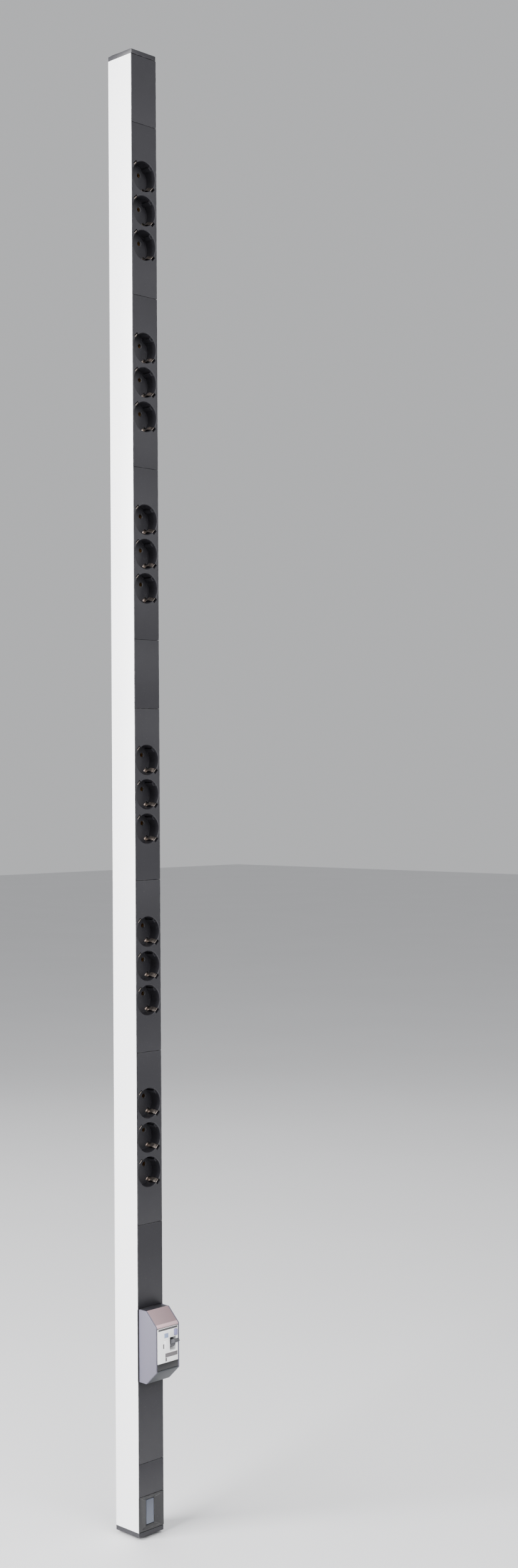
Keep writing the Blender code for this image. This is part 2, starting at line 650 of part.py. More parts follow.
def build_indicator():
    """The bottom module: a dished frame, its tinted window and the lamp board behind."""
    z, length = SPANS["indicator_frame"]
    inner_length = length - JOINT_GAP
    middle_y = (FACE_Y + MODULE_REAR_Y) / 2
    window_front_y = FACE_Y + WINDOW_SETBACK
    front_wall = WINDOW_SETBACK + WINDOW_THICKNESS + GAP
    frame_mesh = box_mesh("indicator_frame", (MODULE_WIDTH, MODULE_DEPTH, inner_length))
    frame = place("indicator_frame", frame_mesh, GLOSS_BLACK, (0, middle_y, z))

    dish = bmesh.new()
    bmesh.ops.create_cube(dish, size=1.0)
    # The dish narrows straight from its rim to the window, and runs past the face in front.
    rim_y = -WINDOW_SETBACK
    for corner in dish.verts:
        at_front = corner.co.y < 0
        overrun = 2.0 if at_front else 1.0
        width = WINDOW_WIDTH + (DISH_WIDTH - WINDOW_WIDTH) * (overrun if at_front else 0)
        height = WINDOW_HEIGHT + (DISH_HEIGHT - WINDOW_HEIGHT) * (overrun if at_front else 0)
        corner.co.x *= width
        corner.co.z *= height
        corner.co.y = overrun * rim_y if at_front else 0
    dish_mesh = bpy.data.meshes.new("dish")
    dish.to_mesh(dish_mesh)
    dish.free()
    add_modifier_cut(frame, dish_mesh, (0, window_front_y, z))
    opening = box_mesh("window_opening", (WINDOW_WIDTH, MODULE_DEPTH, WINDOW_HEIGHT))
    add_modifier_cut(frame, opening, (0, window_front_y + MODULE_DEPTH / 2 - GAP, z))
    pocket_depth = MODULE_DEPTH - front_wall
    pocket_width = MODULE_WIDTH - 2 * POCKET_WALL
    pocket_height = inner_length - 2 * POCKET_WALL
    pocket = box_mesh("rear_pocket", (pocket_width, 2 * pocket_depth, pocket_height))
    add_modifier_cut(frame, pocket, (0, MODULE_REAR_Y, z))

    window_size = (WINDOW_WIDTH - 2 * GAP, WINDOW_THICKNESS, WINDOW_HEIGHT - 2 * GAP)
    window_y = window_front_y + WINDOW_THICKNESS / 2
    place("indicator_window", box_mesh("indicator_window", window_size), SMOKED, (0, window_y, z))

    board_y = FACE_Y + BOARD_SETBACK + BOARD_THICKNESS / 2
    board_size = (pocket_width - 2 * GAP, BOARD_THICKNESS, pocket_height - 2 * GAP)
    board = place("indicator_board", box_mesh("indicator_board", board_size), BOARD_GREEN, (0, board_y, z))
    lamp_y = board_y - BOARD_THICKNESS / 2 - LAMP_SIZE / 4
    lamps = [(0, 0, side * WINDOW_HEIGHT / 3) for side in (-1, 0, 1)]
    lamp_mesh = box_mesh("lamps", (LAMP_SIZE, LAMP_SIZE, LAMP_SIZE), copies=lamps)
    add_modifier_cut(board, lamp_mesh, (0, lamp_y, z), operation="UNION")


def build_carrier():
    """The black base of the breaker bay, with a wall standing up at each end of the hood."""
    window = MODULE_WIDTH - 2 * HOOD_SIDE
    carrier = place(
        "breaker_carrier",
        box_mesh("breaker_carrier", (MODULE_WIDTH, MODULE_DEPTH, 2 * HOOD_HALF)),
        BLACK_PLASTIC,
        (0, (FACE_Y + MODULE_REAR_Y) / 2, BREAKER_Z),
    )
    wall_top_y = SLOPE_LOW[1] + GAP
    wall_depth = MODULE_REAR_Y - wall_top_y - GAP
    wall_size = (window - 2 * GAP, wall_depth, HOOD_WALL - GAP)
    walls = [(0, 0, side * (HOOD_HALF - HOOD_WALL / 2)) for side in (-1, 1)]
    wall_y = wall_top_y + wall_depth / 2
    # The opening leaves the end walls' foot as the frame's own end bars.
    opening = box_mesh("bay_opening", (window, 4 * MODULE_DEPTH, 2 * (HOOD_HALF - HOOD_WALL)))
    add_modifier_cut(carrier, opening, (0, FACE_Y, BREAKER_Z))
    walls_mesh = box_mesh("end_walls", wall_size, copies=walls)
    add_modifier_cut(carrier, walls_mesh, (0, wall_y, BREAKER_Z), operation="UNION")


def build_hood():
    """The grey hood: two side plates joined by the two sloped walls, open at the nose."""
    foot_y = FACE_Y - GAP
    upper = [
        (HOOD_HALF, foot_y),
        (HOOD_HALF, LEDGE_Y),
        (FRONT_HALF, HOOD_FRONT_Y),
    ]
    outline = upper + [(-z, y) for z, y in reversed(upper)]
    hood = place(
        "breaker_hood",
        outline_mesh("breaker_hood", [outline], MODULE_WIDTH),
        HOOD_GREY,
        (0, 0, BREAKER_Z),
        SIDE_VIEW,
    )
    beyond = HOOD_HALF + HOOD_WALL
    in_front = HOOD_FRONT_Y - HOOD_WALL
    inner_half = [
        (beyond, FACE_Y + HOOD_WALL),
        (beyond, SLOPE_LOW[1] + HOOD_WALL / 4),
        SLOPE_LOW,
        SLOPE_HIGH,
        (SLOPE_HIGH[0], in_front),
    ]
    inner = inner_half + [(-z, y) for z, y in reversed(inner_half)]
    cavity = outline_mesh("hood_cavity", [inner], MODULE_WIDTH - 2 * HOOD_SIDE)
    add_modifier_cut(hood, cavity, (0, 0, BREAKER_Z), SIDE_VIEW)


def build_nose_filler():
    """The black strip that closes the hood's window under the breaker's nose."""
    window_low = BREAKER_Z - SLOPE_HIGH[0] + GAP
    nose_low = NOSE_Z - NOSE_HEIGHT / 2 - GAP
    height = nose_low - window_low
    width = MODULE_WIDTH - 2 * HOOD_SIDE - 2 * GAP
    location = (0, HOOD_FRONT_Y + HOOD_WALL, (nose_low + window_low) / 2)
    mesh = box_mesh("nose_filler", (width, 2 * HOOD_WALL - GAP, height))
    place("nose_filler", mesh, GLOSS_BLACK, location)


def build_breaker():
    """The breaker's body on its rail, with its terminals, toggle slot and button hole."""
    nose = NOSE_HEIGHT / 2
    shoulder = SHOULDER_HEIGHT / 2
    shoulder_y = FACE_Y - SHOULDER_PROUD
    rail_edge = DIN_RAIL_HEIGHT / 2
    lip_y = DIN_FRONT_Y + DIN_RAIL_THICKNESS + GAP
    hook_y = lip_y + HOOK_THICKNESS
    hook_in = rail_edge - LATCH_BITE
    outline = [
        (-nose, HOOD_FRONT_Y),
        (nose, HOOD_FRONT_Y),
        (nose, shoulder_y),
        (shoulder, shoulder_y + SHOULDER_FALL),
        (shoulder, BREAKER_REAR_Y),
        (rail_edge + HOOK_ROOT, BREAKER_REAR_Y),
        (rail_edge + HOOK_ROOT - HOOK_SLANT, hook_y),
        (hook_in, hook_y),
        (hook_in, lip_y),
        (rail_edge + GAP, lip_y),
        (rail_edge + GAP, BREAKER_REAR_Y),
        (-shoulder, BREAKER_REAR_Y),
        (-shoulder, shoulder_y + SHOULDER_FALL),
        (-nose, shoulder_y),
    ]
    body = place(
        "breaker_body",
        outline_mesh("breaker_body", [outline], BREAKER_WIDTH),
        BREAKER_WHITE,
        (0, 0, NOSE_Z),
        SIDE_VIEW,
    )
    # The hook is narrower than the body, to pass between the screw ports.
    relief_size = (BREAKER_WIDTH, HOOK_THICKNESS * 4, SHOULDER_HEIGHT)
    relief_x = DIN_RAIL_LENGTH / 2 + BREAKER_WIDTH / 2
    relief_mesh = box_mesh("hook_relief", relief_size, copies=[(side * relief_x, 0, 0) for side in (-1, 1)])
    add_modifier_cut(body, relief_mesh, (0, BREAKER_REAR_Y + relief_size[1] / 2, NOSE_Z))
    slot_size = (TOGGLE_WIDTH + 2 * GAP, 2 * TOGGLE_SLOT_DEPTH, TOGGLE_SLOT_HEIGHT)
    add_modifier_cut(body, box_mesh("toggle_slot", slot_size), (POLE_X, HOOD_FRONT_Y, NOSE_Z))
    hole_size = (BUTTON_WIDTH + 2 * GAP, 2 * (BUTTON_DEPTH + GAP), BUTTON_HEIGHT + 2 * GAP)
    button_hole = box_mesh("button_hole", hole_size)
    add_modifier_cut(body, button_hole, (BUTTON_X, HOOD_FRONT_Y, BUTTON_Z))
    ends = [
        (side * POLE_X, TERMINAL_Y, NOSE_Z + end * shoulder)
        for side in (-1, 1)
        for end in (-1, 1)
    ]
    upright = Matrix.Identity(4)
    holes = rod_mesh("terminal_holes", TERMINAL_HOLE, 2 * TERMINAL_DEPTH, ends, axis=upright)
    add_modifier_cut(body, holes)


def build_toggle():
    """The dark toggle, its origin on its hinge and its lever up."""
    hub = rod_mesh("breaker_toggle", TOGGLE_HUB, TOGGLE_WIDTH, sides=20, axis=Matrix.Rotation(pi / 2, 4, "Y"))
    toggle = place("breaker_toggle", hub, TOGGLE_BLACK, (POLE_X, TOGGLE_Y, NOSE_Z))
    lever_size = (TOGGLE_WIDTH - 2 * LEVER_SHOULDER, TOGGLE_REACH, TOGGLE_THICKNESS)
    lever = box_mesh("toggle_lever", lever_size, (0, -TOGGLE_REACH / 2, 0))
    turn = Matrix.Rotation(-TOGGLE_REST, 4, "X")
    add_modifier_cut(toggle, lever, (POLE_X, TOGGLE_Y, NOSE_Z), turn, "UNION")


def build_test_button():
    """The test button, standing a little proud of the nose."""
    size = (BUTTON_WIDTH, BUTTON_PROUD + BUTTON_DEPTH - BUTTON_STROKE, BUTTON_HEIGHT)
    y = HOOD_FRONT_Y - BUTTON_PROUD + size[1] / 2
    place("test_button", box_mesh("test_button", size), BUTTON_VIOLET, (BUTTON_X, y, BUTTON_Z))


def build_din_rail():
    """The short hat-shaped rail that the breaker clips on."""
    top = DIN_RAIL_HEIGHT / 2
    web = top - DIN_RAIL_FLANGE
    sheet = DIN_RAIL_THICKNESS
    upper = [
        (web - sheet, DIN_REAR_Y - sheet),
        (web - sheet, DIN_FRONT_Y),
        (top, DIN_FRONT_Y),
        (top, DIN_FRONT_Y + sheet),
        (web, DIN_FRONT_Y + sheet),
        (web, DIN_REAR_Y),
    ]
    outline = upper + [(-z, y) for z, y in reversed(upper)]
    mesh = outline_mesh("din_rail", [outline], DIN_RAIL_LENGTH)
    place("din_rail", mesh, ZINC, (0, 0, NOSE_Z), SIDE_VIEW)


def build_din_latch():
    """The sprung foot under the breaker that grips the rail's lower flange."""
    edge = -DIN_RAIL_HEIGHT / 2
    lip_y = DIN_FRONT_Y + DIN_RAIL_THICKNESS + GAP
    rear_y = DIN_FRONT_Y + LATCH_THICKNESS
    outline = [
        (edge + LATCH_BITE, lip_y),
        (edge + LATCH_BITE, rear_y),
        (edge - LATCH_LENGTH, rear_y),
        (edge - LATCH_LENGTH, DIN_FRONT_Y),
        (edge - GAP, DIN_FRONT_Y),
        (edge - GAP, lip_y),
    ]
    mesh = outline_mesh("din_latch", [outline], LATCH_WIDTH)
    place("din_latch", mesh, TOGGLE_BLACK, (0, 0, NOSE_Z), SIDE_VIEW)


def build_feed_end():
    """The terminal block, the earth stud and the cable bush in the bottom cap."""
    block_y = SLOT_FLOOR_Y - GAP - BLOCK_DEPTH / 2
    block = place(
        "terminal_block",
        box_mesh("terminal_block", (DIN_RAIL_LENGTH, BLOCK_DEPTH, BLOCK_LENGTH)),
        BLOCK_IVORY,
        (0, block_y, BLOCK_Z),
    )
    poles = [(step * BLOCK_PITCH, 0, 0) for step in (-1, 0, 1)]
    bores = rod_mesh("wire_bores", WIRE_RADIUS + GAP, 2 * BLOCK_LENGTH, poles, axis=Matrix.Identity(4))
    add_modifier_cut(block, bores, (0, block_y, BLOCK_Z))
    screws = [(step * BLOCK_PITCH, 0, side * BLOCK_LENGTH / 4) for step in (-1, 0, 1) for side in (-1, 1)]
    screw_holes = rod_mesh("screw_holes", WIRE_RADIUS, BLOCK_DEPTH, screws)
    add_modifier_cut(block, screw_holes, (0, block_y - BLOCK_DEPTH / 2, BLOCK_Z))

    stud = [
        (0, STUD_HEIGHT),
        (STUD_RADIUS, STUD_HEIGHT),
        (STUD_RADIUS, STUD_COLLAR),
        (STUD_COLLAR_RADIUS, STUD_COLLAR),
        (STUD_COLLAR_RADIUS, 0),
        (0, 0),
    ]
    place("earth_stud", turned_mesh("earth_stud", stud), BRASS, (0, -(WALL + GAP), STUD_Z), FACING_OUT)

    outer = BUSH_HOLE + BUSH_WALL
    bush = [
        (BUSH_HOLE, END_CAP_THICKNESS),
        (outer, END_CAP_THICKNESS),
        (outer, -GAP),
        (outer + BUSH_FLANGE, -GAP),
        (outer + BUSH_FLANGE, -BUSH_PROUD),
        (BUSH_HOLE, -BUSH_PROUD),
        (BUSH_HOLE, END_CAP_THICKNESS),
    ]
    cap_bottom = PROFILE_BOTTOM - GAP - END_CAP_THICKNESS
    mesh = turned_mesh("cable_bush", bush, ROUND_SIDES)
    place("cable_bush", mesh, TOGGLE_BLACK, (0, BUSH_Y, cap_bottom))


def build_conductors():
    """The wires: feed to breaker, breaker to rails, and the earth past the breaker's side."""
    offset = SOCKET_ROTATION @ Vector((0, 0, PIN_SPACING / 2))
    block_y = SLOT_FLOOR_Y - GAP - BLOCK_DEPTH / 2
    block_top = BLOCK_Z + BLOCK_LENGTH / 2
    rail_rear_y = MODULE_REAR_Y + GAP + SLEEVE_DEPTH + 0.75 * RAIL_THICKNESS
    run_y = rail_rear_y + GAP + WIRE_RADIUS
    top_z = SPANS["socket_module_1"][0] + SOCKET_PITCH
    feed_rise = BREAKER_BOTTOM - block_top
    low_bend, high_bend = block_top + FEED_BENDS[0] * feed_rise, block_top + FEED_BENDS[1] * feed_rise
    out_rise = SPANS["socket_module_6"][0] - MODULE_LENGTH / 2 - BREAKER_TOP
    for name, side, block_x in (("live", 1, 0.0), ("neutral", -1, -BLOCK_PITCH)):
        insulation = WIRE_BROWN if side > 0 else WIRE_BLUE
        feed = [
            (block_x, block_y, block_top - WIRE_INSERT),
            (block_x, block_y, block_top + STRAIGHT_OUT),
            (side * POLE_X, TERMINAL_Y, BREAKER_BOTTOM - STRAIGHT_OUT),
            (side * POLE_X, TERMINAL_Y, BREAKER_BOTTOM + WIRE_INSERT),
        ]
        mesh = wire_mesh(f"conductor_{name}_in", eased_path(feed), WIRE_RADIUS)
        place(f"conductor_{name}_in", mesh, insulation)
        onward = [
            (side * POLE_X, TERMINAL_Y, BREAKER_TOP - WIRE_INSERT),
            (side * POLE_X, TERMINAL_Y, BREAKER_TOP + STRAIGHT_OUT),
            (side * offset.x, run_y, BREAKER_TOP + POLE_BEND * out_rise),
            (side * offset.x, run_y, top_z),
        ]
        mesh = wire_mesh(f"conductor_{name}_out", eased_path(onward), WIRE_RADIUS)
        place(f"conductor_{name}_out", mesh, insulation)

    corridor_x = (BREAKER_WIDTH / 2 + INNER_WIDTH / 2) / 2
    corridor_y = (PORT_Y - PORT_RADIUS + RIB_Y + RIB) / 2
    backbone_rear_y = MODULE_REAR_Y + GAP + CLIP_THICKNESS / 2 + RAIL_THICKNESS
    crossing_y = TERMINAL_Y - WIRE_RADIUS - 4 * GAP - 2 * EARTH_WIRE_RADIUS
    earth_y = backbone_rear_y + GAP + EARTH_WIRE_RADIUS
    bends = [BREAKER_TOP + share * out_rise for share in CROSSING_BENDS]
    route = [
        (BLOCK_PITCH, block_y, block_top - WIRE_INSERT),
        (BLOCK_PITCH, block_y, block_top + STRAIGHT_OUT / 2),
        (BLOCK_PITCH, corridor_y, low_bend),
        (corridor_x, corridor_y, high_bend),
        (corridor_x, corridor_y, BREAKER_TOP + STRAIGHT_OUT / 2),
        (corridor_x - EARTH_WIRE_RADIUS, crossing_y, bends[0]),
        (0.0, crossing_y, bends[1]),
        (0.0, earth_y, bends[2]),
        (0.0, earth_y, top_z),
    ]
    place("conductor_earth", wire_mesh("conductor_earth", eased_path(route), EARTH_WIRE_RADIUS), WIRE_GREEN)


for old in list(bpy.data.objects):
    bpy.data.objects.remove(old)

PARTS = new_collection("rack_power_strip")
CUTTERS = new_collection("cutters")

ALUMINIUM = finish("natural_aluminium", (0.86, 0.86, 0.87), 0.38, 0.6)
BLACK_PLASTIC = finish("black_plastic", (0.045, 0.045, 0.052), 0.42)
GLOSS_BLACK = finish("gloss_black_plastic", (0.03, 0.03, 0.034), 0.2)
HOOD_GREY = finish("hood_grey", (0.36, 0.34, 0.41), 0.5)
BREAKER_WHITE = finish("breaker_white", (0.8, 0.8, 0.82), 0.4)
TOGGLE_BLACK = finish("toggle_black", (0.06, 0.06, 0.07), 0.35)
BUTTON_VIOLET = finish("button_violet", (0.25, 0.23, 0.42), 0.4)
SMOKED = finish("smoked_window", (0.13, 0.15, 0.19), 0.12)
NICKEL = finish("nickel_plate", (0.72, 0.69, 0.62), 0.25, 1.0)
BRASS = finish("brass", (0.72, 0.5, 0.2), 0.3, 1.0)
ZINC = finish("zinc_plate", (0.6, 0.61, 0.63), 0.35, 1.0)
STEEL = finish("steel", (0.5, 0.5, 0.52), 0.3, 1.0)
BOARD_GREEN = finish("board_green", (0.03, 0.16, 0.07), 0.5)
BLOCK_IVORY = finish("block_ivory", (0.62, 0.6, 0.52), 0.5)
WIRE_BROWN = finish("wire_brown", (0.16, 0.06, 0.03), 0.5)
WIRE_BLUE = finish("wire_blue", (0.04, 0.1, 0.35), 0.5)
WIRE_GREEN = finish("wire_green", (0.1, 0.35, 0.05), 0.5)

build_housing()
build_slot_nuts()
build_end_cap("end_cap_top", 1, with_cable_hole=False)
build_end_cap("end_cap_bottom", -1, with_cable_hole=True)
build_cap_screws()
build_socket_modules()
build_contact_rails()
for cover_name in ("cover_top", "cover_middle", "cover_feed_upper", "cover_feed_lower", "cover_short"):
    build_cover(cover_name)
build_indicator()
build_carrier()
build_hood()
build_nose_filler()
build_breaker()
build_toggle()
build_test_button()
build_din_rail()
build_din_latch()
build_feed_end()
build_conductors()
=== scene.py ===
"""Looks of the upright rack power strip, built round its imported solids.

Metres, +Z up along the strip, sockets facing -Y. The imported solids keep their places; pieces that need
a finer shape are modelled here and stand for their solid.
"""

import json
import logging
from abc import ABC, abstractmethod
from collections.abc import Callable, Iterable, Sequence
from dataclasses import dataclass, field
from enum import Enum
from math import cos, pi, radians, sin

import bpy
from mathutils import Matrix, Vector


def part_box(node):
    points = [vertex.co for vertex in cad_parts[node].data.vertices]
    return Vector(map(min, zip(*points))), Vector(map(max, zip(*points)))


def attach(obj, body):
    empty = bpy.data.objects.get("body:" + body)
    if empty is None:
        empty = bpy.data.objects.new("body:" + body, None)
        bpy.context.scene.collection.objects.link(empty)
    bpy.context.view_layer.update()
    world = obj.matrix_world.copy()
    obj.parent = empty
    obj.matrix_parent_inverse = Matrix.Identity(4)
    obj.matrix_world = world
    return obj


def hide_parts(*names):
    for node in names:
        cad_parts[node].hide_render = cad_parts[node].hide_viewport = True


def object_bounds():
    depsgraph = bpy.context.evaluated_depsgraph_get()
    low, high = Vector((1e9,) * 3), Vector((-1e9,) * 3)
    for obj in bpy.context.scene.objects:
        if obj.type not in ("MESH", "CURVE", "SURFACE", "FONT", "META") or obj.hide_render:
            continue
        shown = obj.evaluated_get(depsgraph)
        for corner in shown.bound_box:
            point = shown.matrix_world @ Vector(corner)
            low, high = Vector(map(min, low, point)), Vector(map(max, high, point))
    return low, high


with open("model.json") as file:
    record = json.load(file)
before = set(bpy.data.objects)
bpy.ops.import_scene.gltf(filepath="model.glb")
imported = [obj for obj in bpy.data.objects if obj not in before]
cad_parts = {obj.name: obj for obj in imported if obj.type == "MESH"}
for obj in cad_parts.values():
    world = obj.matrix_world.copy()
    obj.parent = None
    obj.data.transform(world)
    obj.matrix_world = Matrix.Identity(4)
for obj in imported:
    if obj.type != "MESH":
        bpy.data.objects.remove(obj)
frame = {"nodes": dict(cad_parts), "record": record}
CAD_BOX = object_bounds()

LOG = logging.getLogger("rack_power_strip")
MM = 0.001
NEAR = 0.01 * MM
EDGE_WEAR = "edge_wear"
Colour = tuple[float, float, float]


class Body(str, Enum):
    """The bodies that pieces ride on."""

    STRIP = "strip"
    TOGGLE = "toggle"
    BUTTON = "button"
    LATCH = "latch"


class Way(Enum):
    """A direction that a turned or extruded form points in."""

    OUT = Vector((0, -1, 0))
    IN = Vector((0, 1, 0))
    UP = Vector((0, 0, 1))
    DOWN = Vector((0, 0, -1))
    ACROSS = Vector((1, 0, 0))


@dataclass(frozen=True)
class Box:
    """An upright box between two corners."""

    low: Vector
    high: Vector

    @classmethod
    def of(cls, node: str) -> "Box":
        """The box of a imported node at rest."""
        return cls(*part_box(node))

    @property
    def centre(self) -> Vector:
        """The middle of the box."""
        return (self.low + self.high) / 2

    @property
    def size(self) -> Vector:
        """The box's three sides."""
        return self.high - self.low


# Shader expressions


class Field:
    """A value that varies over a surface. Arithmetic on it adds Math nodes."""

    def __init__(self, graph: "Graph", socket: bpy.types.NodeSocket) -> None:
        self.graph = graph
        self.socket = socket

    def __add__(self, other: "Field | float") -> "Field":
        """The sum of two values."""
        return self.graph.math("ADD", self, other)

    def __sub__(self, other: "Field | float") -> "Field":
        """This value less the other."""
        return self.graph.math("SUBTRACT", self, other)

    def __rsub__(self, other: float) -> "Field":
        """The other value less this one."""
        return self.graph.math("SUBTRACT", other, self)

    def __mul__(self, other: "Field | float") -> "Field":
        """The product of two values."""
        return self.graph.math("MULTIPLY", self, other)

    def above(self, edge: float, width: float) -> "Field":
        """A mask that rises from 0 to 1 round an edge.

        Args:
            edge: The value at the middle of the rise.
            width: How far the value goes from 0 to 1.

        Returns:
            The mask.
        """
        settings = {"interpolation_type": "SMOOTHSTEP"}
        inputs = {"Value": self, "From Min": edge - width / 2, "From Max": edge + width / 2}
        return self.graph.node("ShaderNodeMapRange", settings, inputs)


class Graph:
    """The node tree of one material, ending in a Principled shader."""

    def __init__(self, name: str) -> None:
        self.material = bpy.data.materials.new(name)
        self.material.use_nodes = True
        self.tree = self.material.node_tree
        self.shader = self.tree.nodes["Principled BSDF"]

    def feed(self, socket: bpy.types.NodeSocket, value: "Field | float | Sequence[float]") -> None:
        """Links a field to a socket, or sets the socket's own value."""
        if isinstance(value, Field):
            self.tree.links.new(value.socket, socket)
        else:
            socket.default_value = value

    def node(
        self,
        kind: str,
        settings: dict[str, object] | None = None,
        inputs: dict[str | int, object] | None = None,
        output: str | int = 0,
    ) -> Field:
        """Adds a node.

        Args:
            kind: The node's type.
            settings: Its properties, set before its sockets are used.
            inputs: Values or fields for its sockets, by name or number.
            output: The output that is wanted.

        Returns:
            The field at that output.
        """
        made = self.tree.nodes.new(kind)
        for key, value in (settings or {}).items():
            setattr(made, key, value)
        for key, value in (inputs or {}).items():
            self.feed(made.inputs[key], value)
        return Field(self, made.outputs[output])

    def math(self, operation: str, left: Field | float, right: Field | float) -> Field:
        """The result of one Math node."""
        return self.node("ShaderNodeMath", {"operation": operation}, {0: left, 1: right})

    def place(self, stretch: Sequence[float] = (1.0, 1.0, 1.0)) -> Field:
        """Object coordinates, scaled along each axis."""
        at = self.node("ShaderNodeTexCoord", output="Object")
        return self.node("ShaderNodeMapping", {}, {"Vector": at, "Scale": stretch})

    def axis(self, name: str) -> Field:
        """One object coordinate, X, Y or Z."""
        return self.node("ShaderNodeSeparateXYZ", {}, {"Vector": self.place()}, name)

    def worn_edges(self) -> Field:
        """A patchy mask over the rounded edges of a piece."""
        settings = {"attribute_type": "GEOMETRY", "attribute_name": EDGE_WEAR}
        rounded = self.node("ShaderNodeAttribute", settings, output="Fac")
        return rounded * self.noise(6 * MM, 4).above(0.5, 0.25)

    def noise(self, size: float, detail: float = 3.0, stretch: Sequence[float] = (1.0, 1.0, 1.0)) -> Field:
        """Cloudy noise.

        Args:
            size: The size of its patches in metres.
            detail: How many finer layers it has.
            stretch: Scale along each axis; under 1 draws the pattern out.

        Returns:
            The noise, round one half.
        """
        inputs = {"Vector": self.place(stretch), "Scale": 1.0 / size, "Detail": detail, "Roughness": 0.55}
        return self.node("ShaderNodeTexNoise", {"noise_dimensions": "3D"}, inputs)

    def blend(self, share: Field, first: Colour | Field, second: Colour | Field) -> Field:
        """A colour between two, by a share from 0 to 1."""
        ends = [value if isinstance(value, Field) else (*value, 1.0) for value in (first, second)]
        settings = {"data_type": "RGBA", "clamp_factor": True}
        return self.node("ShaderNodeMix", settings, {0: share, 6: ends[0], 7: ends[1]}, 2)

    def bump(self, height: Field, depth: float, normal: Field | None = None) -> Field:
        """A bumped normal from a height between 0 and 1, that many metres deep."""
        inputs: dict[str | int, object] = {"Height": height, "Distance": depth, "Strength": 1.0}
        if normal is not None:
            inputs["Normal"] = normal
        return self.node("ShaderNodeBump", {}, inputs)


def shade(colour: Colour, factor: float) -> Colour:
    """A colour made lighter or darker."""
    return tuple(min(1.0, channel * factor) for channel in colour)


# Finishes


@dataclass(frozen=True)
class Finish(ABC):
    """A surface finish, turned into a material once and shared."""

    slot: str
    colour: Colour
    roughness: float
    look: str = ""

    def material(self) -> bpy.types.Material:
        """The finish's material, made on first use.

        Returns:
            The shared material.
        """
        name = f"{self.look or self.slot}_finish"
        found = bpy.data.materials.get(name)
        if found is not None:
            return found
        graph = Graph(name)
        graph.shader.inputs["Roughness"].default_value = self.roughness
        self.paint(graph)
        graph.material.diffuse_color = (*self.colour, 1.0)
        return graph.material

    @abstractmethod
    def paint(self, graph: Graph) -> None:
        """Connects the finish's pattern to the shader."""


@dataclass(frozen=True)
class MouldedPlastic(Finish):
    """Moulded plastic: an eroded grain, faint flow clouds, dust and rubbed patches."""

    grain: float = 0.45 * MM
    grain_depth: float = 0.012 * MM
    clouds: float = 0.10
    dust: float = 0.05
    coat: float = 0.0

    def paint(self, graph: Graph) -> None:
        """Connects the grain, clouds and dust."""
        clouds = graph.noise(60 * MM, 3, (1.0, 1.0, 0.35))
        specks = graph.noise(2.2 * MM, 2).above(0.68, 0.10)
        base = graph.blend(clouds, shade(self.colour, 1 - self.clouds), shade(self.colour, 1 + self.clouds))
        pale = tuple(channel + (0.6 - channel) * 0.5 for channel in self.colour)
        dusty = graph.blend(specks * self.dust, base, pale)
        graph.feed(graph.shader.inputs["Base Color"], graph.blend(graph.worn_edges() * 0.12, dusty, pale))
        rubbed = graph.noise(14 * MM, 4)
        graph.feed(graph.shader.inputs["Roughness"], rubbed * 0.16 + (self.roughness - 0.08))
        grain = graph.noise(self.grain, 2)
        graph.feed(graph.shader.inputs["Normal"], graph.bump(grain, self.grain_depth))
        graph.shader.inputs["Coat Weight"].default_value = self.coat
        graph.shader.inputs["Coat Roughness"].default_value = 0.12


@dataclass(frozen=True)
class HoodPlastic(MouldedPlastic):
    """The hood's plastic: a warm painted reflection on the upper slope, a painted highlight at its lip and
    painted shade on the lower slope.
    """

    # Painted reflection: a warm tint laid on the upper slope for the light that it reflects.
    upper: Colour = (0.24, 0.165, 0.172)
    # Painted shade: the near-black colour laid on the lower slope, which faces down, away from the light.
    lower: Colour = (0.020, 0.024, 0.026)
    plate: float = 2.2 * MM
    front_half: float = 29.0 * MM
    # Half the height of the painted highlight band along the lip.
    lip: float = 2.6 * MM

    def paint(self, graph: Graph) -> None:
        """Connects the moulded pattern, with a painted reflection and highlight on the upper slope and
        painted shade on the lower one.
        """
        super().paint(graph)
        box = Box.of("breaker_hood")
        across = graph.axis("X")
        inside = 1 - graph.math("ABSOLUTE", across, 0.0).above(box.size.x / 2 - self.plate, 0.3 * MM)
        height = graph.axis("Z")
        # Noise that makes the edges of the painted reflection and the painted shade ragged.
        painted_slope_wobble = (graph.noise(9 * MM, 3) - 0.5) * (6 * MM)
        # Mask of the upper slope, where the painted reflection goes.
        raised = (height + painted_slope_wobble).above(box.centre.z + box.size.z / 4, 2 * MM) * inside
        # Mask of the lower slope, where the painted shade goes.
        sunk = (1 - (height + painted_slope_wobble).above(box.centre.z - box.size.z / 4, 2 * MM)) * inside
        base = Field(graph, graph.shader.inputs["Base Color"].links[0].from_socket)
        # Painted highlight: a band along the lip at the foot of the upper slope, 2.2 times paler than the
        # painted reflection.
        lip_top = height.above(box.centre.z + self.front_half + self.lip, 0.6 * MM)
        lip_low = height.above(box.centre.z + self.front_half - self.lip, 0.6 * MM)
        tone = graph.blend(lip_low * (1 - lip_top), self.upper, shade(self.upper, 2.2))
        # Lays the painted reflection over the upper slope.
        toned = graph.blend(raised * 0.9, base, tone)
        # Lays the painted shade over the lower slope.
        graph.feed(graph.shader.inputs["Base Color"], graph.blend(sunk * 0.9, toned, self.lower))


